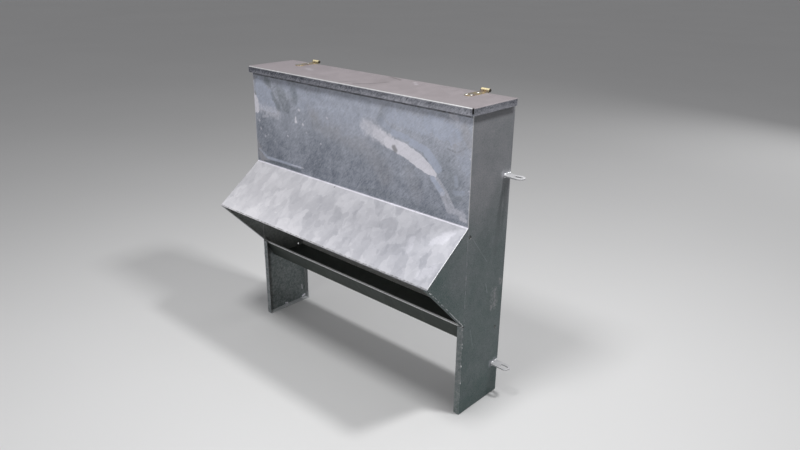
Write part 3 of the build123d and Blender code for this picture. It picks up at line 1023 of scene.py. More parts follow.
@dataclass(frozen=True)
class HoleRim:
    """The uneven ring of zinc around a drain hole, flat on a wall that faces +X, about the origin."""

    radius: float
    thickness: float
    drip: float
    seed: int
    drip_from: float = 0.8
    unevenness: float = 0.45
    smoothing: float = 0.3

    def build(self, name: str) -> bpy.types.Object:
        """Models the ring from a torus, with a drip at its lowest place.

        Args:
            name: The object's name.

        Returns:
            The ring.
        """
        clear_selection()
        bpy.ops.mesh.primitive_torus_add(
            major_segments=28, minor_segments=8, major_radius=self.radius, minor_radius=self.thickness,
            rotation=(0, math.pi / 2, 0))
        rim = added(name)
        bpy.ops.object.transform_apply(location=True, rotation=True, scale=True)
        drip_top = -self.drip_from * self.radius
        low = [vertex.index for vertex in rim.data.vertices if vertex.co.z < drip_top]
        with editing(rim):
            bpy.ops.transform.vertex_random(offset=self.unevenness * self.thickness, seed=self.seed)
            bpy.ops.mesh.vertices_smooth(factor=self.smoothing)
            bpy.ops.mesh.select_all(action="DESELECT")
        for index in low:
            rim.data.vertices[index].select = True
        activate(rim)
        bpy.ops.object.mode_set(mode="EDIT")
        bpy.ops.transform.translate(value=(0.0, 0.0, -self.drip))
        bpy.ops.object.mode_set(mode="OBJECT")
        return rim


# Sub-assemblies

@dataclass(frozen=True)
class SolidBox:
    """The box around one solid of a node."""

    low: Vector
    high: Vector

    @property
    def size(self) -> Vector:
        """The lengths of its edges."""
        return self.high - self.low

    @property
    def middle(self) -> Vector:
        """Its middle."""
        return (self.low + self.high) / 2

    @property
    def side(self) -> float:
        """1 on the feeder's right half, and -1 on its left half."""
        return math.copysign(1.0, self.middle.x)

    @property
    def inner_x(self) -> float:
        """Where its face towards the feeder's middle is, across the feeder."""
        return self.side * min(abs(self.low.x), abs(self.high.x))

    @property
    def outer_x(self) -> float:
        """Where its face away from the feeder's middle is, across the feeder."""
        return self.side * max(abs(self.low.x), abs(self.high.x))


@dataclass
class Feeder:
    """The frame's nodes, and what is read from them."""

    nodes: dict[str, bpy.types.Object]
    upper_hole: Pair = (10 * MM, 30 * MM)
    lower_hole: Pair = (30 * MM, 10.5 * MM)

    def dress(self, finish: Material, *names: str) -> None:
        """Gives CAD nodes a material.

        Args:
            finish: The material.
            names: The nodes.
        """
        for name in names:
            for slot in self.nodes[name].material_slots:
                slot.material = finish
            LOG.info("dressed %s in %s", name, finish.name)

    def solids(self, name: str) -> list[SolidBox]:
        """Boxes of a node's separate solids.

        Args:
            name: The node.

        Returns:
            The boxes, in the order of their lowest corners.
        """
        copy = bpy.data.objects.new("solids_of_" + name, self.nodes[name].data.copy())
        bpy.context.scene.collection.objects.link(copy)
        with editing(copy):
            bpy.ops.mesh.remove_doubles(threshold=MERGE_GAP)
            bpy.ops.mesh.separate(type="LOOSE")
        boxes = []
        for part in list(bpy.context.selected_objects):
            corners = [vertex.co for vertex in part.data.vertices]
            low, high = (Vector(end(axis) for axis in zip(*corners)) for end in (min, max))
            boxes.append(SolidBox(low, high))
            bpy.data.objects.remove(part)
        return sorted(boxes, key=lambda box: tuple(box.low))

    def drain_holes(self) -> tuple[Pair, Pair]:
        """Where the drain holes of a side are, in depth and height.

        Returns:
            The upper and the lower hole.
        """
        panel_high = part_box("right_side_panel")[1]
        cheek_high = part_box("right_cheek")[1]
        trough_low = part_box("trough")[0]
        upper = (cheek_high.y + self.upper_hole[0], cheek_high.z - self.upper_hole[1])
        lower = (panel_high.y - self.lower_hole[0], trough_low.z + self.lower_hole[1])
        return upper, lower


def keep(piece: bpy.types.Object, finish: Material, *replaced: str) -> None:
    """Finishes a new piece and hands it to the frame.

    Args:
        piece: The piece, which rides on the feeder's body.
        finish: Its material.
        replaced: The CAD nodes that it stands for.
    """
    piece.data.materials.clear()
    piece.data.materials.append(finish)
    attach(piece, FEEDER_BODY)
    if replaced:
        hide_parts(*replaced)
    LOG.info("made %s with %d faces", piece.name, len(piece.data.polygons))


def edge_highlight(node: str, width: float, patchy: float, side: Side = Side.OUTSIDE) -> Stroke:
    """The painted highlight along a sheet's upper front edge, where its fold catches the light.

    Args:
        node: The sheet's node.
        width: Half the line's width.
        patchy: How thin the line gets in places.
        side: The faces that it lies on.

    Returns:
        The mark.
    """
    low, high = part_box(node)
    start, end = ((x, low.y, high.z) for x in (low.x, high.x))
    return Stroke(
        Mark.BRIGHT, start, end, width, width, softness=1.5 * MM, ragged=2 * MM, patchy=patchy, side=side)


@dataclass
class Panels:
    """The sheet panels of the feeder: front, back, sides, cheeks, trough and baffle."""

    feeder: Feeder
    bend_rise: float = 1 * MM
    hem_rise: float = 192.5 * MM
    hood_border: Pair = (1 * MM, 3 * MM)
    lip_highlight: float = 4.5 * MM

    def front_marks(self, bend: float) -> tuple[Stroke, ...]:
        """The marks of the front sheet, placed across its width and height.

        A row gives start, end, half widths, soft border, ragged border, strength and thin places.

        Args:
            bend: The height of the bend to the hood, in millimetres.

        Returns:
            The marks.
        """
        hem = (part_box("right_cheek")[0].z + self.hem_rise) / MM
        film = Plane.FRONT.marks(
            Mark.FILM,
            ((-500, 720), (-470, 664), (5, 10), 16, 30, 0.6, 0.3),
            ((-480, 664), (-440, 666), (9, 4), 12, 20, 0.35, 0.4),
            ((-497, 960), (-494, 900), (4, 5), 8, 14, 0.5, 0.3),
            ((432, 908), (455, 880), (8, 14), 12, 40, 0.55, 0.3),
            ((470, 940), (492, 900), (8, 8), 14, 40, 0.4, 0.3),
            ((-190, 898), (-165, 875), (8, 12), 16, 30, 0.45, 0.3),
            ((-150, 860), (60, 820), (16, 20), 40, 70, 0.3, 0.5),
            ((110, 790), (165, 740), (14, 16), 40, 60, 0.3, 0.5),
            ((270, 765), (300, 710), (8, 12), 30, 50, 0.2, 0.5),
        )
        haze = Plane.FRONT.marks(
            Mark.HAZE,
            ((-466, 932), (-416, 905), (24, 22), 14, 50, 0.85, 0.3),
            ((-478, 880), (-388, 868), (20, 16), 10, 34, 0.85, 0.3),
            ((-335, 955), (-215, 928), (8, 14), 20, 50, 0.45, 0.4),
            ((-240, 908), (-110, 926), (16, 24), 24, 60, 0.5, 0.4),
            ((-118, 886), (40, 902), (20, 30), 26, 60, 0.45, 0.5),
            ((-60, 946), (110, 938), (10, 16), 20, 50, 0.4, 0.5),
            ((-20, 850), (60, 868), (8, 14), 24, 60, 0.4, 0.4),
            ((178, 932), (330, 922), (14, 20), 16, 60, 0.65, 0.4),
            ((345, 932), (430, 915), (22, 24), 12, 60, 0.8, 0.3),
            ((460, 880), (485, 830), (10, 12), 20, 50, 0.45, 0.4),
            ((150, 905), (176, 894), (10, 6), 10, 24, 0.6, 0.2),
            ((200, 880), (258, 874), (8, 7), 7, 20, 0.95, 0.2),
            ((276, 864), (332, 850), (8, 9), 6, 16, 1.0, 0.1),
            ((338, 843), (380, 806), (13, 12), 6, 16, 1.0, 0.1),
            ((360, 772), (398, 736), (7, 8), 5, 14, 1.0, 0.2),
            ((446, 794), (450, 770), (3, 4), 7, 20, 0.7, 0.3),
            ((445, 745), (476, 752), (4, 3), 8, 26, 0.7, 0.4),
            ((-488, 698), (-440, 673), (1, 3.5), 5, 10, 0.6, 0.3),
            ((-440, 673), (-250, 674), (3.5, 1.5), 4, 8, 0.75, 0.2),
        )
        slate = Plane.FRONT.marks(
            Mark.SLATE,
            ((-424, 960), (-408, 950), (7, 6), 14, 34, 0.45, 0.3),
            ((-391, 914), (-387, 902), (4, 5), 9, 20, 0.4, 0.3),
            ((-372, 893), (-360, 870), (5, 7), 11, 24, 0.4, 0.3),
            ((-346, 928), (-320, 880), (10, 12), 26, 60, 0.4, 0.5),
            ((-272, 938), (-262, 916), (7, 8), 20, 50, 0.4, 0.5),
            ((160, 950), (143, 908), (9, 2), 16, 30, 0.2, 0.5),
            ((-460, 656), (-400, 662), (0.8, 2.5), 4, 8, 0.5),
            ((-400, 662), (-255, 661), (2.5, 3), 5, 10, 0.35),
            ((405, 830), (440, 740), (16, 22), 30, 60, 0.25, 0.5),
            ((60, 672), (400, 668), (6, 6), 14, 40, 0.2, 0.5),
        )
        bloom = Plane.FRONT.marks(
            Mark.BLOOM,
            ((78, 880), (130, 867), (11, 16), 22, 44, 0.7, 0.4),
            ((126, 866), (190, 847), (14, 16), 12, 26, 0.9, 0.2),
            ((176, 848), (250, 834), (16, 20), 4, 16, 1.0),
            ((250, 834), (305, 813), (20, 21), 3, 14, 1.0),
            ((305, 813), (345, 795), (21, 15), 3, 14, 1.0),
            ((345, 795), (368, 785), (15, 6), 3, 12, 1.0),
            ((400, 730), (428, 688), (7, 8), 5, 12, 0.42, 0.3),
            ((376, 776), (412, 742), (4, 4), 4, 12, 0.4, 0.4),
            ((412, 740), (448, 686), (4, 5), 5, 12, 0.42, 0.3),
            ((-499, 884), (-490, 850), (16, 14), 6, 26, 1.0, 0.2),
            ((-468, 858), (-372, 850), (8, 9), 16, 44, 0.5, 0.6),
            ((-456, 826), (-425, 832), (2, 3), 5, 16, 0.45, 0.4),
            ((-400, 838), (-365, 834), (2, 3), 5, 16, 0.35, 0.4),
            ((-266, 853), (-266, 837), (0.8, 4), 4, 10, 0.9),
            ((-300, 673.5), (-238, 674.5), (0.7, 0.9), 2, 3, 0.5),
            ((424, 972), (444, 962), (9, 5), 4, 10, 0.5),
            ((455, 690), (480, 684), (7, 6), 7, 24, 0.4, 0.3),
            ((472, 674), (488, 671), (4, 3), 7, 12, 0.6, 0.2),
            ((420, 604), (452, 618), (6, 9), 6, 26, 0.26, 0.3),
            ((440, 624), (470, 632), (5, 3), 5, 20, 0.24, 0.3),
            ((450, 538), (476, 552), (8, 8), 10, 30, 0.2, 0.3),
            ((350, 592), (364, 572), (7, 5), 6, 20, 0.17, 0.2),
        )
        specks = Plane.FRONT.spots(
            Mark.BLOOM,
            (-229, 834, 3.0, 0.7), (-248, 881, 3.0, 0.7), (-316, 778, 2.4, 0.7), (-322, 793, 1.6, 0.5),
            (-480, 808, 2.5, 0.5), (-488, 814, 1.8, 0.4), (-471, 779, 3.2, 0.4), (-447, 754, 3.0, 0.4),
            (-428, 763, 2.0, 0.3), (-389, 744, 1.8, 0.3), (-212, 808, 2.2, 0.45), (-206, 727, 1.6, 0.3),
            (-104, 877, 2.2, 0.6), (-139, 782, 2.2, 0.55), (-220, 847, 1.4, 0.4), (497, 763, 2.2, 0.6),
            (498, 858, 2.6, 0.6), (498, 792, 1.6, 0.4), (498, 708, 2.0, 0.5),
        )
        dirt_and_shade = Plane.FRONT.marks(
            Mark.DIRT_AND_SHADE,
            # painted shade: a dark line on the front just under the lid's front flange
            ((-500, 976), (500, 976), (2, 2), 1.5, 3, 0.8, 0.4),
            ((203, 835), (209, 828), (5, 4), 8, 10, 0.55),
            ((412, 872), (440, 867), (0.5, 0.8), 4, 10, 0.3, 0.5),
            ((452, 868), (478, 884), (0.5, 0.5), 4, 10, 0.25, 0.5),
            ((-498, hem), (498, hem), (0.4, 0.4), 0.9, 1, 0.75, 0.9),
            # painted shade: dark slits at both top corners, under the lid's corner gaps
            *(((side * 495, 991), (side * 495, 1000), (6, 6), 3, 2, 0.95) for side in (-1, 1)),
        )
        flecks = Plane.FRONT.spots(Mark.DIRT_AND_SHADE, (86, 671, 1.6, 0.5), (-66, bend - 4, 1.2, 0.6))
        # painted highlight along the bend between the front and the hood
        fold_highlight = Plane.FRONT.mark(Mark.BLOOM, (-500, bend), (500, bend), (1.7, 1.7), 1.2, 1.5, 0.95, 0.1)
        return film + haze + slate + bloom + specks + dirt_and_shade + flecks + (fold_highlight,)

    def side_marks(self, worn: bool) -> tuple[Stroke, ...]:
        """The marks of a side sheet, placed across its depth and height.

        Args:
            worn: Whether it is the side with the scuffs.

        Returns:
            The marks.
        """
        mark = Plane.SIDE.mark
        low, high = (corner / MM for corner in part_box("right_side_panel"))
        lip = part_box("trough")[1].z / MM
        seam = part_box("right_cheek")[1].y / MM
        # painted shade: dark spots over the drain holes, which lie in shadow
        hole_shade = tuple(
            mark(Mark.DIRT_AND_SHADE, (y / MM, z / MM), (y / MM, z / MM - 0.5), (4.6, 4.6), 1.2, 1, 1.0)
            for y, z in self.feeder.drain_holes())
        halos = []
        for name in ("upper_right_tab", "lower_right_tab"):
            root, tip = (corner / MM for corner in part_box(name))
            top = tip.z + 2
            halos.append(mark(Mark.BLOOM, (root.y, top), (tip.y, top), (3, 4), 15, 30, 0.4, 0.5))
        seams_and_edge_shade = (
            mark(Mark.BRIGHT, (-2, 615), (-1.5, 614), (1.0, 1.0), 0.8, 0.5, 0.9),
            mark(Mark.BLOOM, (seam, 400), (seam, 635), (0.2, 0.5), 3, 10, 0.15, 1.0),
            # painted shade: a dark line on the cheek along the hood's slanted end
            mark(Mark.SLATE, (seam + 2, 646), (-193, 511), (1.2, 1.2), 2, 2, 0.5, 0.3),
            mark(Mark.BLOOM, (11, 607), (88, 512), (0.2, 0.3), 1.5, 3, 0.17, 0.6),
        )
        flange, flange_strength = (Mark.BRIGHT, 0.24) if worn else (Mark.SLATE, 0.75)
        strips_and_leg_shade = (
            mark(flange, (low.y, 4), (low.y, lip), (0.5, 0.5), 1.6, 4, flange_strength, 0.5, Side.BOTH),
            mark(Mark.DIRT_AND_SHADE, (low.y, lip + 1), (low.y + 3, lip + 1), (1.5, 1.5), 1.5, 2, 0.7, 0.3, Side.BOTH),
            mark(Mark.BRIGHT, (seam, lip + 5), (seam, 620), (0.6, 0.4), 1.0, 2, 0.6, 0.3, Side.INSIDE),
            mark(Mark.BRIGHT, (low.y, 1.6), (high.y, 1.6), (0.5, 0.5), 1.5, 4, 0.4, 0.4, Side.BOTH),
            mark(Mark.BRIGHT, (high.y - 2, 4), (high.y - 2, 245), (0.4, 0.4), 1.2, 3, 0.5, 0.3, Side.INSIDE),
            # painted shade inside the legs: behind the front flange, on the web under the trough, and in the
            # corner by the lip
            mark(Mark.DIRT_AND_SHADE, (low.y + 12, 8), (low.y + 12, lip - 6), (9, 11), 10, 16, 0.6, 0.2, Side.INSIDE),
            mark(Mark.SLATE, (-20, 116), (190, 116), (114, 114), 8, 8, 0.95, 0.2, Side.INSIDE),
            mark(Mark.SLATE, (low.y + 2, lip - 3), (low.y + 14, 232), (7, 46), 4, 4, 0.95, 0.2, Side.INSIDE),
        )
        drips_and_wall_shade = (
            # painted shade on the inner wall and cheek behind the opening
            mark(Mark.SLATE, (-120, 400), (130, 370), (150, 150), 25, 40, 0.68, 0.3, Side.INSIDE),
            mark(Mark.BLOOM, (74, 8), (84, 6), (2.5, 2), 2.5, 8, 0.9, 0.2, Side.INSIDE),
            mark(Mark.BLOOM, (166, 7), (178, 11), (2.5, 3), 2.5, 8, 0.9, 0.2, Side.INSIDE),
            mark(Mark.BLOOM, (164, 62), (166, 42), (1, 1.5), 2, 6, 0.7, 0.3, Side.INSIDE),
        )
        scuffs = (
            mark(Mark.FILM, (136, 392), (140, 342), (8, 12), 12, 60, 0.55, 1.0),
            mark(Mark.FILM, (130, 370), (152, 352), (6, 8), 10, 50, 0.45, 1.0),
            mark(Mark.FILM, (166, 426), (174, 412), (4, 4), 8, 40, 0.5, 1.0),
            mark(Mark.BLOOM, (90, 435), (100, 400), (0.3, 0.3), 2.5, 6, 0.2, 0.6),
            mark(Mark.BLOOM, (20, 300), (36, 240), (0.3, 0.3), 2.5, 6, 0.18, 0.6),
            mark(Mark.SLATE, (120, 700), (60, 560), (14, 20), 40, 60, 0.3, 0.4),
            mark(Mark.SLATE, (143, 715), (128, 535), (4, 9), 9, 14, 0.42, 0.3),
            mark(Mark.SLATE, (159, 740), (158, 590), (2, 2), 4, 8, 0.35, 0.4),
        )
        return (*hole_shade, *halos, *seams_and_edge_shade, *strips_and_leg_shade, *(scuffs if worn else drips_and_wall_shade))

    def dress(self) -> None:
        """Gives every panel its zinc."""
        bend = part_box("right_cheek")[1].z + self.bend_rise
        front_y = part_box("right_side_panel")[0].y
        hood_start, hood_end = (reach - front_y for reach in self.hood_border)
        hood = Slope(FORWARD, hood_start, hood_end, 0.0, 1.0)
        front_coat = Coat(
            Tint.FRONT_DARK, Tint.FRONT_PALE, clouds=0.5, mottle=0.75, grain=1.6, slopes=(
                Slope(RIGHT, -0.3, 0.5, 0.07, 0.22),
                Slope(UP, 0.66, 0.94, -0.34, 0.07),
            ))
        hood_coat = Coat(
            Tint.HOOD_GREY, Tint.HOOD_WHITE, clouds=0.3, mottle=0.25, spangle=0.4, grain=0.2, slopes=(
                # painted shade and light: paler at the left end and darker at the right, evening out the key
                # light's brighter fall on the right end
                Slope(RIGHT, -0.5, 0.5, 0.27, -0.33),
                Slope(UP, 0.585, 0.63, 0.0, 0.10),
                Slope(UP, 0.515, 0.555, 0.12, 0.0),
            ))
        front = ZincFinish(
            "front_zinc", front_coat, metallic=0.30, roughness=0.52, zone=hood, zone_coat=hood_coat,
            marks=self.front_marks(bend / MM), white_specks=0.03, inner=True)
        side_coat_with_reflection = Coat(
            Tint.SIDE_DARK, Tint.SIDE_PALE, clouds=0.3, mottle=0.3, spangle=0.08, grain=1.1, slopes=(
                # painted reflection and shade: darker and greener towards the bottom, as a dark green floor
                # would show in the sheet
                Slope(UP, 0.52, 0.80, -0.26, 0.08),
                Slope(UP, 0.0, 0.3, -0.12, 0.0),
                Slope(BACK, -0.2, 0.02, -0.05, 0.0),
            ))
        plain_coat = Coat(Tint.BACK_DARK, Tint.BACK_PALE, clouds=0.9, mottle=0.4, spangle=0.3, grain=0.3)
        for name, coat, worn in (("right", side_coat_with_reflection, True), ("left", plain_coat, False)):
            side = ZincFinish(
                name + "_side_zinc", coat, metallic=0.15, roughness=0.5, marks=self.side_marks(worn),
                white_specks=0.02, inner=True)
            self.feeder.dress(side.material(), name + "_side_panel", name + "_cheek")
        back = ZincFinish("back_zinc", plain_coat, white_specks=0.02, inner=True)
        # The trough's zinc is painted very dark, as painted shade under the hood.
        trough_shade_coat = Coat(
            Tint.TROUGH_SHADE_DARK, Tint.TROUGH_SHADE_PALE, clouds=0.5, mottle=0.3, spangle=0.1, grain=0.5)
        # painted highlight along the trough's lip
        lip = edge_highlight("trough", self.lip_highlight, patchy=0.1, side=Side.BOTH)
        trough = ZincFinish(
            "trough_shaded_zinc", trough_shade_coat, metallic=0.2, roughness=0.5, marks=(lip,), inner=True)
        baffle_coat = Coat(
            Tint.INNER_DARK, Tint.INNER_PALE, clouds=0.8, mottle=0.4, spangle=0.2, grain=0.3)
        baffle = ZincFinish("baffle_zinc", baffle_coat, metallic=0.6, roughness=0.5)
        self.feeder.dress(front.material(), "front_panel")
        self.feeder.dress(back.material(), "back_panel")
        self.feeder.dress(trough.material(), "trough")
        self.feeder.dress(baffle.material(), "feed_baffle")


@dataclass
class LidAndHinges:
    """The lid, its hinges, rivets and pins."""

    feeder: Feeder
    flange_border: Pair = (1 * MM, 3 * MM)
    flange_shade: Pair = (18 * MM, 8 * MM)
    fold_highlight_width: float = 2.2 * MM

    def smudges(self) -> tuple[Stroke, ...]:
        """The smudges on the lid's top, placed across its width and depth.

        Returns:
            The marks.
        """
        dark = Plane.TOP.marks(
            Mark.DIRT_AND_SHADE,
            ((-200, 20), (-50, -10), (6, 8), 30, 30, 0.14, 0.5),
            ((40, 120), (70, 20), (8, 6), 30, 30, 0.14, 0.5),
            ((-20, 30), (30, 0), (4, 6), 20, 30, 0.12, 0.5),
            ((10, 170), (50, 140), (10, 8), 30, 30, 0.12, 0.5),
            ((-36, -14), (-24, 16), (4, 3), 5, 14, 0.45, 0.4),
            ((18, -8), (54, 38), (4, 4), 5, 16, 0.55, 0.4),
            ((54, 38), (70, 95), (4, 2.5), 5, 16, 0.55, 0.4),
            ((8, 172), (74, 149), (3, 4), 5, 14, 0.55, 0.4),
            ((-158, 176), (-146, 188), (3, 3), 5, 12, 0.4, 0.4),
        )
        pale = Plane.TOP.marks(
            Mark.BLOOM,
            ((130, 155), (165, 125), (1, 2), 8, 30, 0.15, 0.4),
            ((-320, 90), (-280, 70), (2, 2), 15, 30, 0.15, 0.4),
        )
        return dark + pale

    def dress(self) -> None:
        """Gives the lid its smooth zinc, and the hinges their yellow one."""
        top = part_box("lid")[1].z
        flange_start, flange_end = (drop - top for drop in self.flange_border)
        flanges = Slope(DOWN, flange_start, flange_end, 0.0, 1.0)
        shade_start, shade_end = (top - drop for drop in self.flange_shade)
        flange_coat = Coat(
            Tint.FLANGE_DARK, Tint.FLANGE_PALE, clouds=0.3, mottle=0.8, spangle=0.1, grain=3.0, slopes=(
                Slope(RIGHT, -0.35, 0.5, -0.19, 0.08),
                Slope(RIGHT, 0.505, 0.509, 0.0, -0.14),
                Slope(UP, shade_start, shade_end, 0.13, -0.09),
                Slope(RIGHT, -0.509, -0.505, 0.4, 0.0),
            ))
        lid_coat = Coat(
            Tint.LID_DARK, Tint.LID_PALE, clouds=0.6, mottle=0.2, spangle=0.1, grain=0.1,
            slopes=(Slope(RIGHT, -0.5, 0.5, 0.35, -0.28),))
        # painted highlight along the lid's front fold
        fold_highlight = edge_highlight("lid", self.fold_highlight_width, patchy=0.2)
        lid = ZincFinish(
            "lid_zinc", lid_coat, metallic=0.45, roughness=0.54, zone=flanges, zone_coat=flange_coat,
            marks=(fold_highlight, *self.smudges()), inner=True)
        rivet = PlainSteel("rivet_zinc", (0.70, 0.69, 0.66), (0.42, 0.40, 0.37), roughness=(0.24, 0.42))
        pin = PlainSteel("pin_steel", (0.10, 0.085, 0.07), (0.05, 0.04, 0.035), roughness=(0.32, 0.5))
        self.feeder.dress(lid.material(), "lid")
        self.feeder.dress(
            YellowZinc().material(), "left_lid_leaf", "right_lid_leaf", "left_body_leaf", "right_body_leaf")
        self.feeder.dress(rivet.material(), "lid_rivets", "body_rivets")
        self.feeder.dress(pin.material(), "left_hinge_pin", "right_hinge_pin")


@dataclass
class TabsAndWelds:
    """The fixing tabs, and the weld beads that hold the feeder together."""

    feeder: Feeder
    ripple_step: float = 1.5 * MM
    run_radius: float = 1.1 * MM
    run_step: float = 6 * MM
    run_sink: float = 0.45 * MM
    lump_radius: float = 1.6 * MM
    lump_stretch: float = 1.8
    lump_sizes: Pair = (0.45, 1.2)
    lump_seed: int = 17
    rim_radius: float = 3.8 * MM
    rim_thickness: float = 0.4 * MM
    rim_drip: float = 0.9 * MM

    def dress(self) -> None:
        """Gives the tabs and the inner beads their zinc, and models beads, runs, lumps and rims."""
        tab_coat = Coat(Tint.TAB_DARK, Tint.TAB_PALE, clouds=0.3, mottle=0.5, spangle=0.2, grain=0.5)
        weld_coat = Coat(Tint.BACK_PALE, Tint.TAB_PALE, clouds=0.3, mottle=0.4, spangle=0.1, grain=0.6)
        stitch_coat = Coat(Tint.SIDE_DARK, Tint.SIDE_PALE, clouds=0.3, mottle=0.4, spangle=0.2, grain=0.7)
        # The drain hole rims are painted dark, as painted shade of the holes.
        hole_shade_coat = Coat(Tint.DIRT_AND_SHADE, Tint.SIDE_DARK, clouds=0.3, mottle=0.4, spangle=0.2, grain=0.7)
        tab = ZincFinish("tab_zinc", tab_coat, metallic=0.35, roughness=0.5).material()
        weld = ZincFinish("weld_zinc", weld_coat, metallic=0.6, roughness=0.38).material()
        stitch = ZincFinish("stitch_zinc", stitch_coat, metallic=0.2, roughness=0.45).material()
        rim = ZincFinish("hole_shade_zinc", hole_shade_coat, metallic=0.2, roughness=0.6).material()
        self.feeder.dress(tab, "lower_right_tab", "lower_left_tab", "upper_right_tab", "upper_left_tab")
        self.feeder.dress(weld, "baffle_welds", "trough_welds")
        self.tab_beads(weld)
        self.seam_stitches(stitch)
        self.back_beads(weld)
        self.corner_runs(weld)
        self.edge_lumps(weld)
        self.hole_rims(rim)

    def tab_beads(self, finish: Material) -> None:
        """Models the beads above and below the tabs' roots.

        Args:
            finish: The zinc on them.
        """
        welds = self.feeder.solids("tab_welds")
        size = welds[0].size
        bead = RippledBar(
            radius=size.x, length=size.y, step=self.ripple_step, ripple=0.14, jitter=0.07, seed=3,
            cut_wall=True, cut_plate=True).build("tab_bead")
        upper_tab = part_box("upper_right_tab")
        lower_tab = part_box("lower_right_tab")
        between = (upper_tab[0].z + lower_tab[1].z) / 2
        places = []
        for weld in welds:
            tab = upper_tab if weld.middle.z > between else lower_tab
            above = weld.middle.z > tab[1].z
            root = Vector((weld.inner_x, weld.middle.y, weld.low.z if above else weld.high.z))
            turn = Matrix.Diagonal((weld.side, 1.0, 1.0 if above else -1.0, 1.0))
            places.append(Matrix.Translation(root) @ turn)
        keep(copies_at(bead, places, "tab_weld_beads"), finish, "tab_welds")

    def seam_stitches(self, finish: Material) -> None:
        """Models the low stitches on the seams of the side panels and the cheeks.

        Args:
            finish: The zinc on them.
        """
        welds = self.feeder.solids("cheek_seam_welds")
        size = welds[0].size
        stitch = RippledBar(
            radius=size.y / 2, length=size.z, step=self.ripple_step, ripple=0.18, jitter=0.12, seed=5,
            cut_wall=True).build("stitch")
        flat = size.x / (size.y / 2)
        places = []
        for weld in welds:
            foot = Vector((weld.inner_x, weld.middle.y, weld.middle.z))
            turn = Matrix.Diagonal((weld.side * flat, 1.0, 1.0, 1.0))
            places.append(Matrix.Translation(foot) @ turn @ UPRIGHT)
        keep(copies_at(stitch, places, "cheek_seam_stitches"), finish, "cheek_seam_welds")

    def back_beads(self, finish: Material) -> None:
        """Models the small beads between the back panel and the rear flanges of the sides.

        Args:
            finish: The zinc on them.
        """
        welds = self.feeder.solids("back_welds")
        size = welds[0].size
        bead = RippledBar(
            radius=size.x, length=size.z, step=self.ripple_step, ripple=0.15, jitter=0.08, seed=8,
            cut_wall=True, cut_plate=True).build("back_bead")
        places = []
        for weld in welds:
            root = Vector((weld.outer_x, weld.low.y, weld.middle.z))
            turn = Matrix.Diagonal((-weld.side, -1.0, 1.0, 1.0))
            places.append(Matrix.Translation(root) @ turn @ UPRIGHT)
        keep(copies_at(bead, places, "back_weld_beads"), finish, "back_welds")

    def corner_runs(self, finish: Material) -> None:
        """Models the thin uneven zinc along front corners, hood ends and slanted cheek edges.

        Args:
            finish: The zinc on them.
        """
        front_low, front_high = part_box("front_panel")
        cheek_low, cheek_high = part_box("right_cheek")
        side_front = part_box("right_side_panel")[0].y
        sunk = self.run_sink
        rounded = self.run_radius
        corner_x = front_high.x - sunk
        slant_x = front_high.x - rounded
        top = Vector((corner_x, side_front + sunk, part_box("lid")[0].z))
        bend = Vector((corner_x, side_front + sunk, cheek_high.z))
        nose = Vector((corner_x, front_low.y + 2 * MM, front_low.z + 4 * MM))
        slant_top = Vector((slant_x, cheek_low.y + 2 * rounded, front_low.z + 2 * rounded))
        slant_foot = Vector((slant_x, side_front + rounded, cheek_low.z + 2 * rounded))
        for label, start, end, seed in (
                ("corner", top, bend, 21), ("hood_end", bend, nose, 34),
                ("cheek_edge", slant_top, slant_foot, 55)):
            run = end - start
            bar = RippledBar(
                radius=rounded, length=run.length, step=self.run_step, ripple=0.08, jitter=0.3, seed=seed,
                sides=8).build("zinc_run")
            right = Matrix.Translation((start + end) / 2) @ along(run)
            left = Matrix.Diagonal((-1.0, 1.0, 1.0, 1.0)) @ right
            keep(copies_at(bar, [right, left], label + "_runs"), finish)

    def edge_lumps(self, finish: Material) -> None:
        """Models the small lumps of zinc that stayed along the edges, each side with its own.

        Args:
            finish: The zinc on them.
        """
        panel_low, panel_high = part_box("right_side_panel")
        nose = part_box("front_panel")[0]
        cheek_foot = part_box("right_cheek")[0].z
        edge = panel_high.x - 0.5 * MM
        front = panel_low.y + 0.3 * MM
        inner = panel_low.x + 6 * MM
        on_flange = edge - 14 * MM
        rear = panel_high.y - 2 * MM
        rows = (
            ((edge, nose.y + 3 * MM, nose.z), (edge, front, cheek_foot + 6 * MM), 11),
            ((edge, front, 12 * MM), (edge, front, cheek_foot - 4 * MM), 6),
            ((edge - 3 * MM, front, cheek_foot - 12 * MM), (edge, front + 6 * MM, cheek_foot + 8 * MM), 6),
            ((on_flange, front, cheek_foot - 7 * MM), (edge - 2 * MM, front, cheek_foot + 2 * MM), 5),
            ((edge, front, cheek_foot + 340 * MM), (edge, front, panel_high.z - 26 * MM), 6),
            ((inner, front + 20 * MM, 2 * MM), (inner, rear, 2 * MM), 6),
            ((on_flange, rear, 5 * MM), (on_flange, rear, 90 * MM), 5),
        )
        draw = random.Random(self.lump_seed)
        places = []
        for side in (1.0, -1.0):
            across = Matrix.Diagonal((side, 1.0, 1.0, 1.0))
            for start, end, count in rows:
                run = Vector(end) - Vector(start)
                for _ in range(count):
                    place = Vector(start) + run * draw.random()
                    size = Matrix.Scale(draw.uniform(*self.lump_sizes), 4)
                    roll = Matrix.Rotation(draw.uniform(0, 2 * math.pi), 4, "Y")
                    places.append(across @ Matrix.Translation(place) @ along(run) @ roll @ size)
        lump = ZincLump(self.lump_radius, self.lump_stretch, self.lump_seed).build("lump")
        keep(copies_at(lump, places, "edge_lumps"), finish)

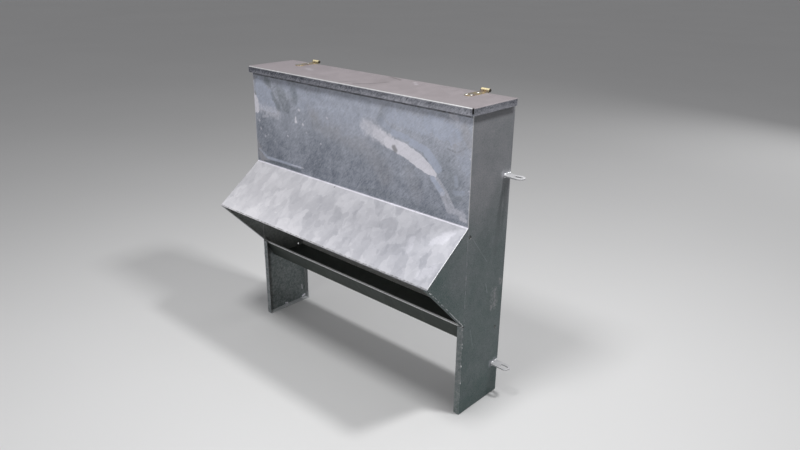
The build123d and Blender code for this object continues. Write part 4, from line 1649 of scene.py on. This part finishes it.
    def hole_rims(self, finish: Material) -> None:
        """Models the rims of zinc around the drain holes of the sides, painted dark as shade of the holes.

        Args:
            finish: The zinc on them.
        """
        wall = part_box("right_side_panel")[1].x
        rim = HoleRim(self.rim_radius, self.rim_thickness, self.rim_drip, seed=12).build("rim")
        places = [
            Matrix.Translation((side * wall, y, z)) @ Matrix.Diagonal((side, 1.0, 1.0, 1.0))
            for side in (1.0, -1.0) for y, z in self.feeder.drain_holes()]
        keep(copies_at(rim, places, "drain_hole_rims"), finish)


# Studio

@dataclass(frozen=True)
class SoftBox:
    """One square soft light."""

    name: str
    place: Triple
    size: float
    power: float
    tint: Triple = (1.0, 1.0, 1.0)
    aim: Triple = (0.0, 0.0, 0.55)

    def build(self) -> None:
        """Hangs the light and turns it to its aim."""
        bpy.ops.object.light_add(type="AREA", location=self.place)
        lamp = added(self.name)
        lamp.data.size = self.size
        lamp.data.energy = self.power
        lamp.data.color = self.tint
        lamp.rotation_euler = (Vector(self.aim) - Vector(self.place)).to_track_quat("-Z", "Y").to_euler()


@dataclass
class Studio:
    """A plain pale floor, soft light, and the camera at the photograph's place."""

    floor_tone: float = 0.68
    floor_unevenness: float = 0.01
    floor_cloud: float = 1.5
    floor_bounce: float = 0.14
    sky_strength: float = 0.28
    lights: tuple[SoftBox, ...] = (
        SoftBox("key_light", (0.25, -0.98, 2.9), 0.5, 39.0),
        SoftBox("ceiling_light", (1.35, 0.42, 3.0), 0.36, 44.0),
        SoftBox("front_fill", (1.0, -4.0, 1.5), 1.6, 20.0, (0.98, 0.99, 1.0)),
        SoftBox("back_fill", (0.9, 4.6, 1.9), 2.2, 26.0),
    )
    camera_place: Triple = (1.6242, -1.5379, 1.3991)
    azimuth: float = 42.455
    elevation: float = 21.487
    roll: float = 0.725
    lens: float = 31.468
    floor_reach: float = 80.0

    def build(self) -> None:
        """Sets up floor, light and camera."""
        self.floor()
        self.sky()
        for light in self.lights:
            light.build()
        self.camera()
        bpy.context.scene.view_settings.view_transform = "Standard"

    def floor(self) -> None:
        """Lays the floor."""
        clear_selection()
        bpy.ops.mesh.primitive_plane_add(size=self.floor_reach)
        floor = added("floor")
        material, desk, shader, place = begin_material("floor_paint")
        darkest, palest = self.floor_tone - self.floor_unevenness, self.floor_tone + self.floor_unevenness
        tone = desk.vary(desk.noise(place, self.floor_cloud, 2.0), darkest, palest)
        colour = desk.add("ShaderNodeCombineColor")
        for channel in colour.inputs:
            desk.feed(channel, tone)
        rays = desk.add("ShaderNodeLightPath").outputs
        seen = desk.math("MAXIMUM", rays["Is Camera Ray"], rays["Is Glossy Ray"])
        seen = desk.math("MAXIMUM", seen, rays["Is Transmission Ray"])
        bounce = (self.floor_bounce, self.floor_bounce, self.floor_bounce, 1.0)
        desk.feed(shader.inputs["Base Color"], desk.mix(seen, bounce, colour.outputs[0]))
        shader.inputs["Roughness"].default_value = 0.9
        floor.data.materials.append(material)

    def sky(self) -> None:
        """Sets an even sky."""
        world = bpy.data.worlds.new("studio_sky")
        world.use_nodes = True
        sky = world.node_tree.nodes["Background"]
        sky.inputs["Color"].default_value = (0.98, 0.98, 1.0, 1.0)
        sky.inputs["Strength"].default_value = self.sky_strength
        bpy.context.scene.world = world

    def camera(self) -> None:
        """Places the camera where the photograph was taken from."""
        bpy.ops.object.camera_add(location=self.camera_place)
        camera = added("photo_camera")
        turn = Matrix.Rotation(math.radians(self.azimuth), 4, "Z")
        turn = turn @ Matrix.Rotation(math.radians(90.0 - self.elevation), 4, "X")
        turn = turn @ Matrix.Rotation(math.radians(self.roll), 4, "Z")
        camera.rotation_euler = turn.to_euler()
        camera.data.lens = self.lens
        camera.data.sensor_width = 36.0
        bpy.context.scene.camera = camera


def main() -> None:
    """Builds the dressed feeder and its studio."""
    logging.basicConfig(level=logging.INFO, format="%(name)s: %(message)s")
    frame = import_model()
    clear_selection()
    feeder = Feeder(frame["nodes"])
    for assembly in (Panels(feeder), LidAndHinges(feeder), TabsAndWelds(feeder)):
        assembly.dress()
    Studio().build()


if __name__ == "__main__":
    main()
